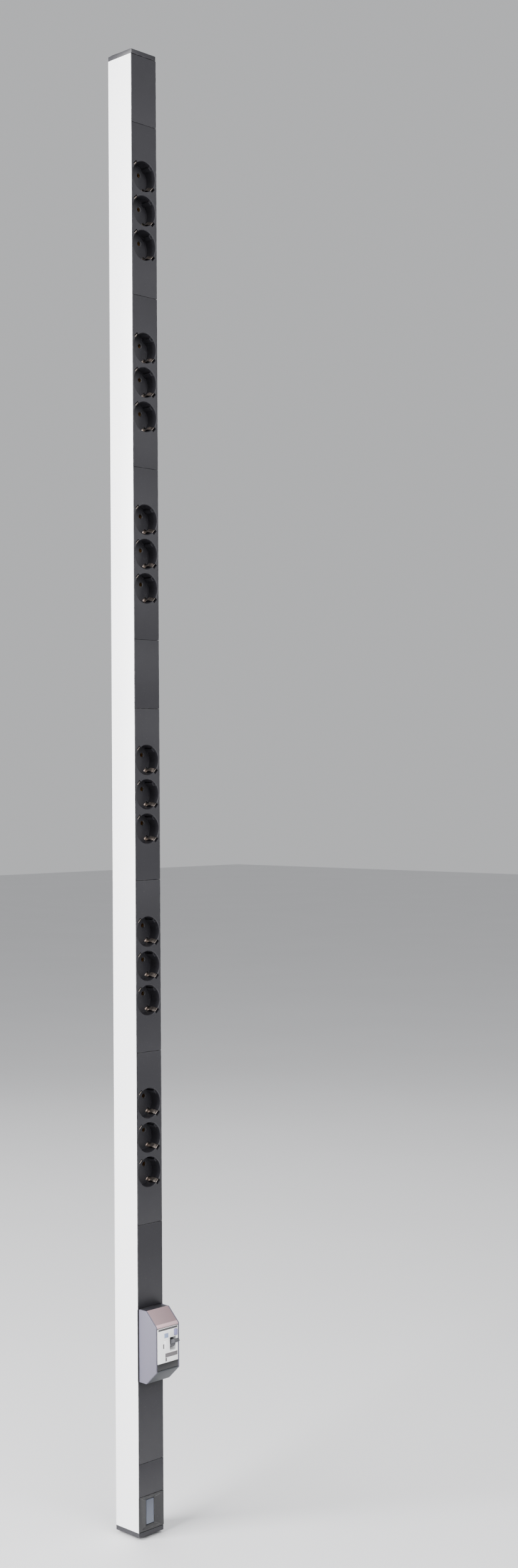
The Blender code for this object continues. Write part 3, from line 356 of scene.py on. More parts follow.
@dataclass(frozen=True)
class DrawnAluminium(Finish):
    """Satin anodised extrusion: long die lines, a soft clouding and a few handling marks."""

    metallic: float = 0.1
    line: float = 0.35 * MM
    line_depth: float = 0.006 * MM

    def paint(self, graph: Graph) -> None:
        """Connects the die lines and clouding."""
        along = (1.0, 1.0, 0.004)
        lines = graph.noise(self.line, 4, along)
        bands = graph.noise(6 * MM, 2, along)
        clouds = graph.noise(180 * MM, 3, (1.0, 1.0, 0.4))
        share = bands * 0.5 + clouds * 0.5
        base = graph.blend(share, shade(self.colour, 0.95), shade(self.colour, 1.03))
        marks = graph.noise(9 * MM, 5, (1.0, 1.0, 0.2)).above(0.72, 0.06)
        marked = graph.blend(marks * 0.25, base, shade(self.colour, 0.86))
        bare = graph.blend(graph.worn_edges() * 0.5, marked, shade(self.colour, 0.8))
        graph.feed(graph.shader.inputs["Base Color"], bare)
        graph.feed(graph.shader.inputs["Roughness"], lines * 0.14 + clouds * 0.08 + (self.roughness - 0.11))
        graph.feed(graph.shader.inputs["Normal"], graph.bump(lines, self.line_depth))
        graph.shader.inputs["Metallic"].default_value = self.metallic


@dataclass(frozen=True)
class PlatedMetal(Finish):
    """Stamped or turned metal with a plated or bare skin."""

    tarnish: Colour = (0.3, 0.3, 0.3)
    stains: float = 0.35

    def paint(self, graph: Graph) -> None:
        """Connects the tarnish and the fine rolling marks."""
        stains = graph.noise(5 * MM, 4).above(0.56, 0.22)
        rolled = graph.noise(0.3 * MM, 3, (1.0, 1.0, 0.08))
        stained = graph.blend(stains * self.stains, self.colour, self.tarnish)
        bright = graph.blend(graph.worn_edges() * 0.5, stained, shade(self.colour, 1.2))
        graph.feed(graph.shader.inputs["Base Color"], bright)
        graph.feed(graph.shader.inputs["Roughness"], stains * 0.18 + rolled * 0.12 + (self.roughness - 0.08))
        graph.feed(graph.shader.inputs["Normal"], graph.bump(rolled, 0.004 * MM))
        graph.shader.inputs["Metallic"].default_value = 1.0


@dataclass(frozen=True)
class TintedWindow(Finish):
    """A glossy tinted cover, paler towards its foot, with a faint smear."""

    foot: Colour = (0.090, 0.105, 0.140)

    def paint(self, graph: Graph) -> None:
        """Connects the slow change of tint and the smear."""
        box = Box.of("indicator_window")
        rise = (graph.axis("Z") - box.low.z) * (1.0 / box.size.z)
        smear = graph.noise(7 * MM, 3, (1.0, 1.0, 0.4))
        base = graph.blend(rise + (smear - 0.5) * 0.5, self.foot, self.colour)
        graph.feed(graph.shader.inputs["Base Color"], base)
        graph.feed(graph.shader.inputs["Roughness"], smear * 0.14 + (self.roughness - 0.05))
        graph.shader.inputs["Coat Weight"].default_value = 0.25
        graph.shader.inputs["Coat Roughness"].default_value = 0.05


@dataclass(frozen=True)
class WireJacket(Finish):
    """Soft insulation with a faint wax bloom."""

    bloom: float = 0.2

    def paint(self, graph: Graph) -> None:
        """Connects the bloom and the drawn surface."""
        bloom = graph.noise(8 * MM, 3, (1.0, 1.0, 0.2))
        base = graph.blend(bloom * self.bloom, self.colour, (0.5, 0.5, 0.5))
        graph.feed(graph.shader.inputs["Base Color"], base)
        graph.feed(graph.shader.inputs["Roughness"], bloom * 0.2 + (self.roughness - 0.1))
        graph.feed(graph.shader.inputs["Normal"], graph.bump(graph.noise(0.8 * MM, 2), 0.02 * MM))


@dataclass(frozen=True)
class CircuitBoard(Finish):
    """Lacquered board with copper tracks under the lacquer."""

    track: Colour = (0.05, 0.26, 0.12)

    def paint(self, graph: Graph) -> None:
        """Connects the tracks."""
        tracks = graph.node(
            "ShaderNodeTexBrick",
            {"offset": 0.35},
            {
                "Vector": graph.place((1.0, 1.0, 1.0)),
                "Color1": (*self.colour, 1.0),
                "Color2": (*shade(self.colour, 1.15), 1.0),
                "Mortar": (*self.track, 1.0),
                "Scale": 220.0,
                "Mortar Size": 0.04,
            },
        )
        graph.feed(graph.shader.inputs["Base Color"], tracks)
        graph.feed(graph.shader.inputs["Roughness"], graph.noise(4 * MM) * 0.2 + (self.roughness - 0.1))


class Finishes:
    """Every finish on the strip."""

    ALUMINIUM = DrawnAluminium("anodised_aluminium", (0.94, 0.94, 0.95), 0.46)
    BLACK = MouldedPlastic("black_plastic", (0.0140, 0.0134, 0.0172), 0.48, clouds=0.14, dust=0.05)
    GLOSS_BLACK = MouldedPlastic(
        "gloss_black", (0.010, 0.0098, 0.011), 0.34, grain_depth=0.003 * MM, coat=0.08
    )
    HOOD = HoodPlastic(
        "hood_grey", (0.098, 0.092, 0.125), 0.55, grain=0.6 * MM, grain_depth=0.02 * MM, clouds=0.07
    )
    WHITE = MouldedPlastic(
        "breaker_white", (0.97, 0.97, 0.98), 0.42, grain_depth=0.006 * MM, clouds=0.04, dust=0.12
    )
    PRINT = MouldedPlastic("breaker_white", (0.13, 0.12, 0.125), 0.45, "grey_print", grain_depth=0.002 * MM)
    # Painted shade: a near-black colour for the thin sheet that stands for the shadowed gap above the
    # breaker's nose.
    PAINTED_GAP_SHADE = MouldedPlastic("breaker_white", (0.06, 0.058, 0.06), 0.50, "painted_gap_shade", grain_depth=0.002 * MM)
    PALE_PRINT = MouldedPlastic(
        "breaker_white", (0.27, 0.33, 0.50), 0.45, "blue_print", grain_depth=0.002 * MM
    )
    TOGGLE = MouldedPlastic("toggle_black", (0.055, 0.055, 0.062), 0.36, grain_depth=0.008 * MM)
    VIOLET = MouldedPlastic("button_violet", (0.22, 0.21, 0.40), 0.40, grain_depth=0.006 * MM)
    WINDOW = TintedWindow("smoked_window", (0.060, 0.068, 0.095), 0.24)
    NICKEL = PlatedMetal("nickel_plate", (0.40, 0.35, 0.32), 0.38, tarnish=(0.27, 0.20, 0.16))
    BRASS = PlatedMetal("contact_brass", (0.42, 0.29, 0.14), 0.40, tarnish=(0.20, 0.12, 0.06))
    ZINC = PlatedMetal("zinc_plate", (0.60, 0.62, 0.64), 0.36, tarnish=(0.38, 0.40, 0.42))
    STEEL = PlatedMetal("screw_steel", (0.50, 0.50, 0.52), 0.30, tarnish=(0.26, 0.25, 0.24))
    BOARD = CircuitBoard("circuit_board", (0.03, 0.16, 0.07), 0.40)
    IVORY = MouldedPlastic("block_ivory", (0.60, 0.57, 0.48), 0.50)
    BROWN = WireJacket("wire_brown", (0.16, 0.06, 0.03), 0.50)
    BLUE = WireJacket("wire_blue", (0.04, 0.10, 0.35), 0.50)
    GREEN = WireJacket("wire_green", (0.10, 0.35, 0.05), 0.50)

    @classmethod
    def by_slot(cls) -> dict[str, Finish]:
        """The finishes by the name of their slot."""
        found = [value for value in vars(cls).values() if isinstance(value, Finish)]
        return {finish.slot: finish for finish in found if not finish.look}


# Modelling


class Bench:
    """Blender's own operators, with the selection made in code."""

    @staticmethod
    def pick(piece: bpy.types.Object, *others: bpy.types.Object) -> None:
        """Selects only these objects, the first one active."""
        bpy.ops.object.select_all(action="DESELECT")
        for item in (piece, *others):
            item.select_set(True)
        bpy.context.view_layer.objects.active = piece

    @classmethod
    def settle(cls, piece: bpy.types.Object) -> bpy.types.Object:
        """Puts the piece's place, turn and size into its mesh."""
        cls.pick(piece)
        bpy.ops.object.transform_apply(location=True, rotation=True, scale=True)
        return piece

    @classmethod
    def block(cls, name: str, low: Vector, high: Vector) -> bpy.types.Object:
        """An upright block.

        Args:
            name: The object's name.
            low: Its lowest corner.
            high: Its highest corner.

        Returns:
            The block, its place in its mesh.
        """
        bpy.ops.object.select_all(action="DESELECT")
        bpy.ops.mesh.primitive_cube_add(size=1, location=(low + high) / 2)
        made = bpy.context.object
        made.name = name
        made.scale = high - low
        return cls.settle(made)

    @classmethod
    def rod(
        cls, name: str, start: Vector, way: Way, length: float, radius: float, sides: int
    ) -> bpy.types.Object:
        """A round bar from a point along a direction.

        Args:
            name: The object's name.
            start: The middle of its first end.
            way: Where it points.
            length: Its length.
            radius: Its radius.
            sides: How many sides its round has.

        Returns:
            The bar, its place in its mesh.
        """
        turn = way.value.to_track_quat("Z", "X").to_euler()
        middle = start + way.value * (length / 2)
        bpy.ops.object.select_all(action="DESELECT")
        bpy.ops.mesh.primitive_cylinder_add(
            vertices=sides, radius=radius, depth=length, location=middle, rotation=turn
        )
        made = bpy.context.object
        made.name = name
        return cls.settle(made)

    @classmethod
    def select(cls, piece: bpy.types.Object, wanted: Callable[[bpy.types.MeshPolygon], bool]) -> None:
        """Opens a piece in edit mode with only the wanted faces selected."""
        cls.pick(piece)
        mesh = piece.data
        for items in (mesh.vertices, mesh.edges, mesh.polygons):
            items.foreach_set("select", [False] * len(items))
        for face in mesh.polygons:
            face.select = wanted(face)
        bpy.ops.object.mode_set(mode="EDIT")
        bpy.ops.mesh.select_mode(type="FACE")

    @classmethod
    def round_margins(cls, piece: bpy.types.Object, width: float, segments: int = 3) -> bpy.types.Object:
        """Rounds the two long front corners of an upright piece.

        Args:
            piece: The piece, its face towards -Y.
            width: The rounding's width in metres.
            segments: How many faces each rounding has.

        Returns:
            The piece.
        """
        points = [vertex.co for vertex in piece.data.vertices]
        front = min(point.y for point in points)
        side = max(point.x for point in points)
        cls.select(piece, lambda face: False)
        bpy.ops.mesh.select_mode(type="EDGE")
        cls.close()
        for edge in piece.data.edges:
            ends = [points[index] for index in edge.vertices]
            edge.select = all(point.y < front + NEAR and abs(point.x) > side - NEAR for point in ends)
        bpy.ops.object.mode_set(mode="EDIT")
        bpy.ops.mesh.bevel(offset=width, segments=segments, affect="EDGES")
        cls.close()
        return piece

    @staticmethod
    def close() -> None:
        """Leaves edit mode."""
        bpy.ops.object.mode_set(mode="OBJECT")

    @staticmethod
    def extrude(move: Vector, resize: float = 1.0) -> None:
        """Extrudes the selected faces, and then resizes them about their middle."""
        bpy.ops.mesh.extrude_region_move(TRANSFORM_OT_translate={"value": move})
        if resize != 1.0:
            bpy.ops.transform.resize(value=(resize, resize, resize))

    @classmethod
    def apply(cls, piece: bpy.types.Object, kind: str, **settings: object) -> bpy.types.Object:
        """Adds a modifier with these settings and applies it."""
        cls.pick(piece)
        modifier = piece.modifiers.new(kind.title(), kind)
        for key, value in settings.items():
            setattr(modifier, key, value)
        bpy.ops.object.modifier_apply(modifier=modifier.name)
        return piece

    @classmethod
    def combine(cls, piece: bpy.types.Object, tool: bpy.types.Object, operation: str = "DIFFERENCE") -> None:
        """Cuts a piece with a tool, or joins them into one body; the tool is used up."""
        cls.apply(piece, "BOOLEAN", operation=operation, object=tool, solver="EXACT")
        bpy.data.objects.remove(tool)

    @classmethod
    def join(cls, pieces: Sequence[bpy.types.Object]) -> bpy.types.Object:
        """Several objects as one object of separate bodies."""
        cls.pick(*pieces)
        bpy.ops.object.join()
        return pieces[0]

    @classmethod
    def copy(cls, piece: bpy.types.Object, name: str, move: Vector) -> bpy.types.Object:
        """A copy of a piece with its own mesh, moved."""
        made = bpy.data.objects.new(name, piece.data.copy())
        made.data.name = name
        made.data.transform(Matrix.Translation(move))
        bpy.context.scene.collection.objects.link(made)
        return made

    @classmethod
    def turn(cls, piece: bpy.types.Object, angle: float, way: Way, about: Vector) -> bpy.types.Object:
        """Turns a piece's mesh about an axis through a point."""
        there = Matrix.Translation(about)
        piece.data.transform(there @ Matrix.Rotation(angle, 4, way.value) @ there.inverted())
        return piece

    @classmethod
    def soften(
        cls, piece: bpy.types.Object, width: float, segments: int = 2, least_corner: float = 40.0
    ) -> bpy.types.Object:
        """Rounds a piece's real corners and shades its rounds smooth.

        Args:
            piece: The piece.
            width: The rounding's width in metres.
            segments: How many faces each rounding has.
            least_corner: Corners under this many degrees stay as they are.

        Returns:
            The piece.
        """
        cls.apply(
            piece,
            "BEVEL",
            width=width,
            segments=segments,
            limit_method="ANGLE",
            angle_limit=radians(least_corner),
            harden_normals=False,
            use_clamp_overlap=True,
        )
        return cls.smooth(piece)

    @classmethod
    def smooth(cls, piece: bpy.types.Object, sharpest: float = 35.0) -> bpy.types.Object:
        """Shades a piece smooth where its faces meet at a small angle."""
        cls.pick(piece)
        bpy.ops.object.shade_smooth_by_angle(angle=radians(sharpest))
        return piece

    @classmethod
    def from_node(cls, node: str) -> bpy.types.Object:
        """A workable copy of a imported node: its loose triangles merged into whole faces."""
        made = cls.copy(frame["nodes"][node], f"{node}_finished", Vector((0, 0, 0)))
        made.data.materials.clear()
        cls.select(made, lambda face: True)
        bpy.ops.mesh.remove_doubles(threshold=0.002 * MM)
        bpy.ops.mesh.dissolve_limited(angle_limit=radians(0.5))
        cls.close()
        return made


@dataclass(frozen=True)
class Flange:
    """The thin edge of each front piece that lies over the channel's front lips."""

    half_width: float = 22.0 * MM
    front: float = -46.0 * MM
    thickness: float = 1.0 * MM
    gap: float = 0.15 * MM

    def add(self, piece: bpy.types.Object) -> bpy.types.Object:
        """Draws a flange out of both long sides of a front piece.

        Args:
            piece: The front piece.

        Returns:
            The piece.
        """
        rear = self.front + self.thickness
        side = max(vertex.co.x for vertex in piece.data.vertices)
        Bench.select(piece, lambda face: True)
        bpy.ops.mesh.bisect(plane_co=(0, rear, 0), plane_no=Way.IN.value)
        Bench.close()
        for way in (-1, 1):
            edge = way * side
            Bench.select(
                piece,
                lambda face: face.normal.x * way > 0.9
                and abs(face.center.x - edge) < NEAR
                and self.front - NEAR < face.center.y < rear,
            )
            Bench.extrude(Way.ACROSS.value * way * (self.half_width - side))
            Bench.close()
        return piece

    def clear(self, channel: bpy.types.Object) -> bpy.types.Object:
        """Sets the channel's front lips back behind the flanges."""
        Bench.select(channel, lambda face: face.normal.y < -0.9 and face.center.y < self.front + 0.1 * MM)
        bpy.ops.transform.translate(value=Way.IN.value * (self.thickness + self.gap))
        Bench.close()
        return channel


FLANGE = Flange()


def mark_edges(piece: bpy.types.Object, narrow: float = 0.9 * MM) -> None:
    """Marks a piece's narrow rounding faces, which are worn.

    Args:
        piece: The finished piece.
        narrow: The width under which a face counts as part of an edge.
    """
    layer = piece.data.attributes.new(EDGE_WEAR, "FLOAT", "FACE")
    points = piece.data.vertices
    for face in piece.data.polygons:
        longest = max((points[start].co - points[end].co).length for start, end in face.edge_keys)
        layer.data[face.index].value = float(face.area < narrow * longest)


def dress(piece: bpy.types.Object, finish: Finish, nodes: Iterable[str], body: Body = Body.STRIP) -> None:
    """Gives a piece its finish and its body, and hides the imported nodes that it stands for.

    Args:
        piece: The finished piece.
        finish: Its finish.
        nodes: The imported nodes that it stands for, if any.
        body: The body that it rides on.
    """
    piece.data.materials.clear()
    piece.data.materials.append(finish.material())
    mark_edges(piece)
    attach(piece, body.value)
    names = list(nodes)
    if names:
        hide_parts(*names)
    LOG.info("%s: %d faces, %s", piece.name, len(piece.data.polygons), finish.slot)


def joint_place(name: str) -> Vector:
    """A point on the axis of a packed joint."""
    joints = frame["record"]["behaviour"]["joints"]
    return Vector(next(joint["pos_m"] for joint in joints if joint["name"] == name))


# Sub-assemblies


@dataclass
class Channel:
    """The aluminium channel, its end caps, its cap screws, its slot nuts and its cable bush."""

    profile_round: float = 0.18 * MM
    cap_round: float = 0.7 * MM
    nut_round: float = 0.25 * MM
    drive_width: float = 0.75 * MM
    drive_length: float = 3.4 * MM
    drive_depth: float = 1.0 * MM
    head_round: float = 0.5 * MM
    bush_sides: int = 64
    groove: float = 0.6 * MM
    groove_share: float = 0.92
    land_share: float = 0.80

    def build(self) -> None:
        """Builds and dresses every piece of the channel."""
        channel = FLANGE.clear(Bench.from_node("housing_profile"))
        dress(Bench.soften(channel, self.profile_round), Finishes.ALUMINIUM, ["housing_profile"])
        for node in ("end_cap_top", "end_cap_bottom"):
            dress(Bench.soften(Bench.from_node(node), self.cap_round, 3, 50.0), Finishes.BLACK, [node])
        for end in ("upper", "lower"):
            for side in ("left", "right"):
                node = f"slot_nut_{end}_{side}"
                dress(Bench.soften(Bench.from_node(node), self.nut_round), Finishes.ZINC, [node])
        for end, way in (("top", Way.UP), ("bottom", Way.DOWN)):
            for side in ("left", "right"):
                self.screw(f"cap_screw_{end}_{side}", way)
        self.bush()

    def screw(self, node: str, way: Way) -> None:
        """A pan-head screw with a cross recess in its head.

        Args:
            node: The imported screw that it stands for.
            way: Where its head points.
        """
        box = Box.of(node)
        top = box.high.z if way is Way.UP else box.low.z
        piece = Bench.soften(Bench.from_node(node), self.head_round / 2, 3)
        face = Vector((box.centre.x, box.centre.y, top))
        for angle in (pi / 4, -pi / 4):
            half = Vector((self.drive_length / 2, self.drive_width / 2, self.drive_depth))
            slot = Bench.block("drive_slot", face - half, face + half)
            Bench.turn(slot, angle, Way.UP, face)
            Bench.combine(piece, slot)
        dress(Bench.smooth(piece), Finishes.STEEL, [node])

    def bush(self) -> None:
        """The rubber-like bush round the cable hole, with a groove in its flange."""
        piece = Bench.from_node("cable_bush")
        box = Box.of("cable_bush")
        foot = Vector((box.centre.x, box.centre.y, box.low.z))
        radius = box.size.x / 2
        outer = self.plug("bush_groove", foot, self.groove, radius * self.groove_share)
        inner = self.plug("bush_land", foot, radius, radius * self.land_share)
        Bench.combine(outer, inner)
        Bench.combine(piece, outer)
        dress(Bench.smooth(piece), Finishes.TOGGLE, ["cable_bush"])

    def plug(self, name: str, middle: Vector, reach: float, radius: float) -> bpy.types.Object:
        """An upright round bar that reaches as far above its middle as below it."""
        return Bench.rod(name, middle - Way.UP.value * reach, Way.UP, 2 * reach, radius, self.bush_sides)


@dataclass
class Sockets:
    """The six socket modules, with their recesses and the slots that the earth clips stand in."""

    count: int = 6
    recess_radius: float = 19.7 * MM
    recess_depth: float = 17.5 * MM
    rim: float = 0.7 * MM
    floor_ledge: float = 1.6 * MM
    floor_step: float = 0.5 * MM
    pin_spacing: float = 19.0 * MM
    pin_radius: float = 2.75 * MM
    pin_funnel: float = 0.7 * MM
    pin_sides: int = 32
    slot_inner: float = 16.2 * MM
    slot_outer: float = 23.0 * MM
    slot_width: float = 7.0 * MM
    guide_width: float = 5.4 * MM
    guide_reach: float = 2.0 * MM
    guide_below_face: float = 3.5 * MM
    pocket_wall: float = 2.0 * MM
    turn: float = radians(45)
    round_sides: int = 72
    margin_round: float = 0.7 * MM
    edge_round: float = 0.25 * MM

    def centres(self, module: Box) -> list[Vector]:
        """The middle of each recess of a module, on its front face.

        Args:
            module: The module's box.

        Returns:
            One point for each of its sockets.
        """
        found = []
        for opening in frame["record"]["physics"]["openings"]:
            low, high = (Vector(corner) for corner in opening["box_m"])
            middle = (low + high) / 2
            if opening["name"].startswith("socket") and module.low.z < middle.z < module.high.z:
                found.append(Vector((middle.x, module.low.y, middle.z)))
        return found

    def recess_tool(self, face: Vector) -> bpy.types.Object:
        """The form that one recess is cut with: a flared rim, a stepped floor and two guide ribs left out.

        Args:
            face: The middle of the recess on the module's face.

        Returns:
            The closed tool.
        """
        floor = face + Way.IN.value * self.recess_depth
        length = self.recess_depth - self.rim
        tool = Bench.rod("recess_tool", floor, Way.OUT, length, self.recess_radius, self.round_sides)
        Bench.select(tool, lambda item: item.normal.y < -0.9)
        Bench.extrude(Way.OUT.value * self.rim, 1 + self.rim / self.recess_radius)
        Bench.extrude(Way.OUT.value * self.rim)
        Bench.close()
        Bench.select(tool, lambda item: item.normal.y > 0.9)
        bpy.ops.mesh.inset(thickness=self.floor_ledge)
        Bench.extrude(Way.IN.value * self.floor_step)
        Bench.close()
        for side in (-1, 1):
            reach = self.recess_radius - self.guide_reach
            low = face + Vector((-self.guide_width / 2, self.guide_below_face, reach))
            high = face + Vector((self.guide_width / 2, 2 * self.recess_depth, 2 * self.recess_radius))
            rib = Bench.block("guide_rib", low, high)
            Bench.turn(rib, self.turn + (0 if side > 0 else pi), Way.IN, face)
            Bench.combine(tool, rib)
        return tool

    def pin_tool(self, face: Vector) -> bpy.types.Object:
        """The two pin holes of one socket, each with a funnel at the recess floor.

        Args:
            face: The middle of the recess on the module's face.

        Returns:
            The tool, two closed bodies.
        """
        floor = face + Way.IN.value * (self.recess_depth + self.floor_step)
        tools = []
        for side in (-1, 1):
            offset = Matrix.Rotation(self.turn, 3, "Y") @ Vector((0, 0, side * self.pin_spacing / 2))
            start = floor + offset + Way.IN.value * self.recess_depth
            length = self.recess_depth - self.pin_funnel
            tool = Bench.rod("pin_tool", start, Way.OUT, length, self.pin_radius, self.pin_sides)
            Bench.select(tool, lambda item: item.normal.y < -0.9)
            Bench.extrude(Way.OUT.value * self.pin_funnel, 1 + self.pin_funnel / self.pin_radius)
            Bench.extrude(Way.OUT.value * self.pin_funnel)
            Bench.close()
            tools.append(tool)
        return Bench.join(tools)

    def slot_tool(self, face: Vector) -> bpy.types.Object:
        """The two slots that the earth clip's arms stand in.

        Args:
            face: The middle of the recess on the module's face.

        Returns:
            The tool, two closed bodies.
        """
        tools = []
        for side in (0, pi):
            low = face + Vector((self.slot_inner, -self.recess_depth, -self.slot_width / 2))
            high = face + Vector((self.slot_outer, 2 * self.recess_depth, self.slot_width / 2))
            tools.append(Bench.turn(Bench.block("slot_tool", low, high), self.turn + side, Way.IN, face))
        return Bench.join(tools)

    def module(self, node: str) -> bpy.types.Object:
        """One socket module.

        Args:
            node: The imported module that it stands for.

        Returns:
            The module, with three recesses between two plain cells.
        """
        box = Box.of(node)
        piece = FLANGE.add(Bench.block(f"{node}_finished", box.low, box.high))
        Bench.soften(Bench.round_margins(piece, self.margin_round), self.edge_round)
        faces = self.centres(box)
        Bench.combine(piece, Bench.join([self.recess_tool(face) for face in faces]))
        Bench.combine(piece, Bench.join([self.pin_tool(face) for face in faces]))
        Bench.combine(piece, Bench.join([self.slot_tool(face) for face in faces]))
        pitch = faces[0].z - faces[1].z
        for end in (-1, 1):
            middle = box.centre.z + end * 2 * pitch
            half = pitch / 2 - self.pocket_wall
            low = Vector((box.low.x + self.pocket_wall, box.low.y + self.pocket_wall, middle - half))
            high = Vector((box.high.x - self.pocket_wall, box.high.y + self.pocket_wall, middle + half))
            Bench.combine(piece, Bench.block("rear_pocket", low, high))
        return Bench.smooth(piece)

    def build(self) -> None:
        """Builds the first module and copies it to the others' places."""
        first = Box.of("socket_module_1")
        pattern = self.module("socket_module_1")
        for number in range(2, self.count + 1):
            node = f"socket_module_{number}"
            move = Vector((0, 0, Box.of(node).centre.z - first.centre.z))
            dress(Bench.copy(pattern, f"{node}_finished", move), Finishes.BLACK, [node])
        dress(pattern, Finishes.BLACK, ["socket_module_1"])


@dataclass
class EarthClips:
    """The sprung earth clip in each socket, with the rail that joins a module's three clips."""

    count: int = 6
    radius: float = 19.7 * MM
    thickness: float = 0.8 * MM
    width: float = 6.0 * MM
    bulge: float = 2.0 * MM
    upper_lip: float = 1.8 * MM
    lower_lip: float = 0.2 * MM
    tip: float = 0.3 * MM
    bend: float = 1.2 * MM
    sprung_share: float = 0.75
    fullness: float = 1.3
    web_gap: float = 0.3 * MM
    rail_half: float = 2.5 * MM
    turn: float = radians(45)
    below_face: float = 0.9 * MM
    edge_round: float = 0.15 * MM
    steps: int = 10

    def arm(self, lip: float, front: float, rear: float) -> list[tuple[float, float]]:
        """The middle line of one arm, as (distance from the socket's axis, depth), from its tip.

        Args:
            lip: How far its tip bends outwards.
            front: The tip's depth.
            rear: The depth of the web behind the floor.

        Returns:
            Points along the arm.
        """
        rest = self.radius
        foot = front + self.sprung_share * (rear - front)
        points = [(rest + lip, front), (rest + lip / 2, front + self.tip)]
        for step in range(self.steps + 1):
            share = step / self.steps
            depth = front + self.bend + (foot - front - self.bend) * share
            points.append((rest - self.bulge * sin(pi * share) ** self.fullness, depth))
        return [*points, (rest, rear)]

    def clip(self, face: Vector, rear: float) -> bpy.types.Object:
        """One clip: two arms and the web between them, bent from one strip.

        Args:
            face: The middle of the socket on the module's face.
            rear: The depth of the strip's web.

        Returns:
            The clip, a closed body.
        """
        front = face.y + self.below_face
        lower = self.arm(self.lower_lip, front, rear)
        upper = self.arm(self.upper_lip, front, rear)
        line = [*lower, *((-x, y) for x, y in reversed(upper))]
        bpy.ops.object.select_all(action="DESELECT")
        bpy.ops.mesh.primitive_plane_add(size=1, location=(0, 0, 0))
        made = bpy.context.object
        made.name = "earth_clip"
        start = Vector((line[0][0], line[0][1], 0))
        bpy.ops.object.mode_set(mode="EDIT")
        bpy.ops.mesh.select_mode(type="VERT")
        bpy.ops.mesh.select_all(action="SELECT")
        bpy.ops.mesh.merge(type="CENTER")
        bpy.ops.transform.translate(value=start - Vector((0, 0, self.width / 2)))
        bpy.ops.mesh.extrude_region_move(TRANSFORM_OT_translate={"value": Vector((0, 0, self.width))})
        bpy.ops.mesh.select_all(action="SELECT")
        bpy.ops.mesh.select_mode(type="EDGE")
        for (x0, y0), (x1, y1) in zip(line, line[1:]):
            bpy.ops.mesh.extrude_region_move(TRANSFORM_OT_translate={"value": Vector((x1 - x0, y1 - y0, 0))})
        bpy.ops.object.mode_set(mode="OBJECT")
        Bench.apply(made, "SOLIDIFY", thickness=self.thickness, offset=0.0)
        Bench.soften(made, self.edge_round, 2, 60.0)
        made.data.transform(Matrix.Translation(Vector((face.x, 0, face.z))))
        return Bench.turn(made, self.turn, Way.IN, face)

    def build(self, sockets: Sockets) -> None:
        """Builds each module's clips on their rail.

        Args:
            sockets: The modules that the clips stand in.
        """
        for number in range(1, self.count + 1):
            node = f"earth_rail_{number}"
            rail = Box.of(node)
            module = Box.of(f"socket_module_{number}")
            web = module.high.y + self.web_gap + self.thickness / 2
            low = Vector((-self.rail_half, web, rail.low.z))
            high = Vector((self.rail_half, rail.high.y, rail.high.z))
            piece = Bench.block(f"{node}_finished", low, high)
            for face in sockets.centres(module):
                Bench.combine(piece, self.clip(face, web), "UNION")
            dress(Bench.smooth(piece), Finishes.NICKEL, [node])


@dataclass
class Covers:
    """The plain covers between the socket groups and round the feed."""

    nodes: tuple[str, ...] = (
        "cover_top",
        "cover_middle",
        "cover_feed_upper",
        "cover_feed_lower",
        "cover_short",
    )
    margin_round: float = 0.7 * MM
    edge_round: float = 0.25 * MM

    def build(self) -> None:
        """Builds each cover with rounded edges."""
        for node in self.nodes:
            piece = Bench.round_margins(FLANGE.add(Bench.from_node(node)), self.margin_round)
            dress(Bench.soften(piece, self.edge_round), Finishes.BLACK, [node])


@dataclass
class StatusWindow:
    """The bottom module with its dished frame and tinted window."""

    edge_round: float = 0.5 * MM
    window_round: float = 0.8 * MM

    def build(self) -> None:
        """Builds the frame and the window."""
        piece = FLANGE.add(Bench.from_node("indicator_frame"))
        dress(Bench.soften(piece, self.edge_round, 3, 25.0), Finishes.GLOSS_BLACK, ["indicator_frame"])
        dress(
            Bench.soften(Bench.from_node("indicator_window"), self.window_round, 3),
            Finishes.WINDOW,
            ["indicator_window"],
        )


@dataclass(frozen=True)
class NosePanel:
    """A thin panel on the breaker's nose, its places measured from the middle of the nose."""

    name: str
    left: float
    right: float
    low: float
    high: float
    height: float
    finish: Finish
    sunk: float = 0.2 * MM
    rounding: float = 0.05 * MM


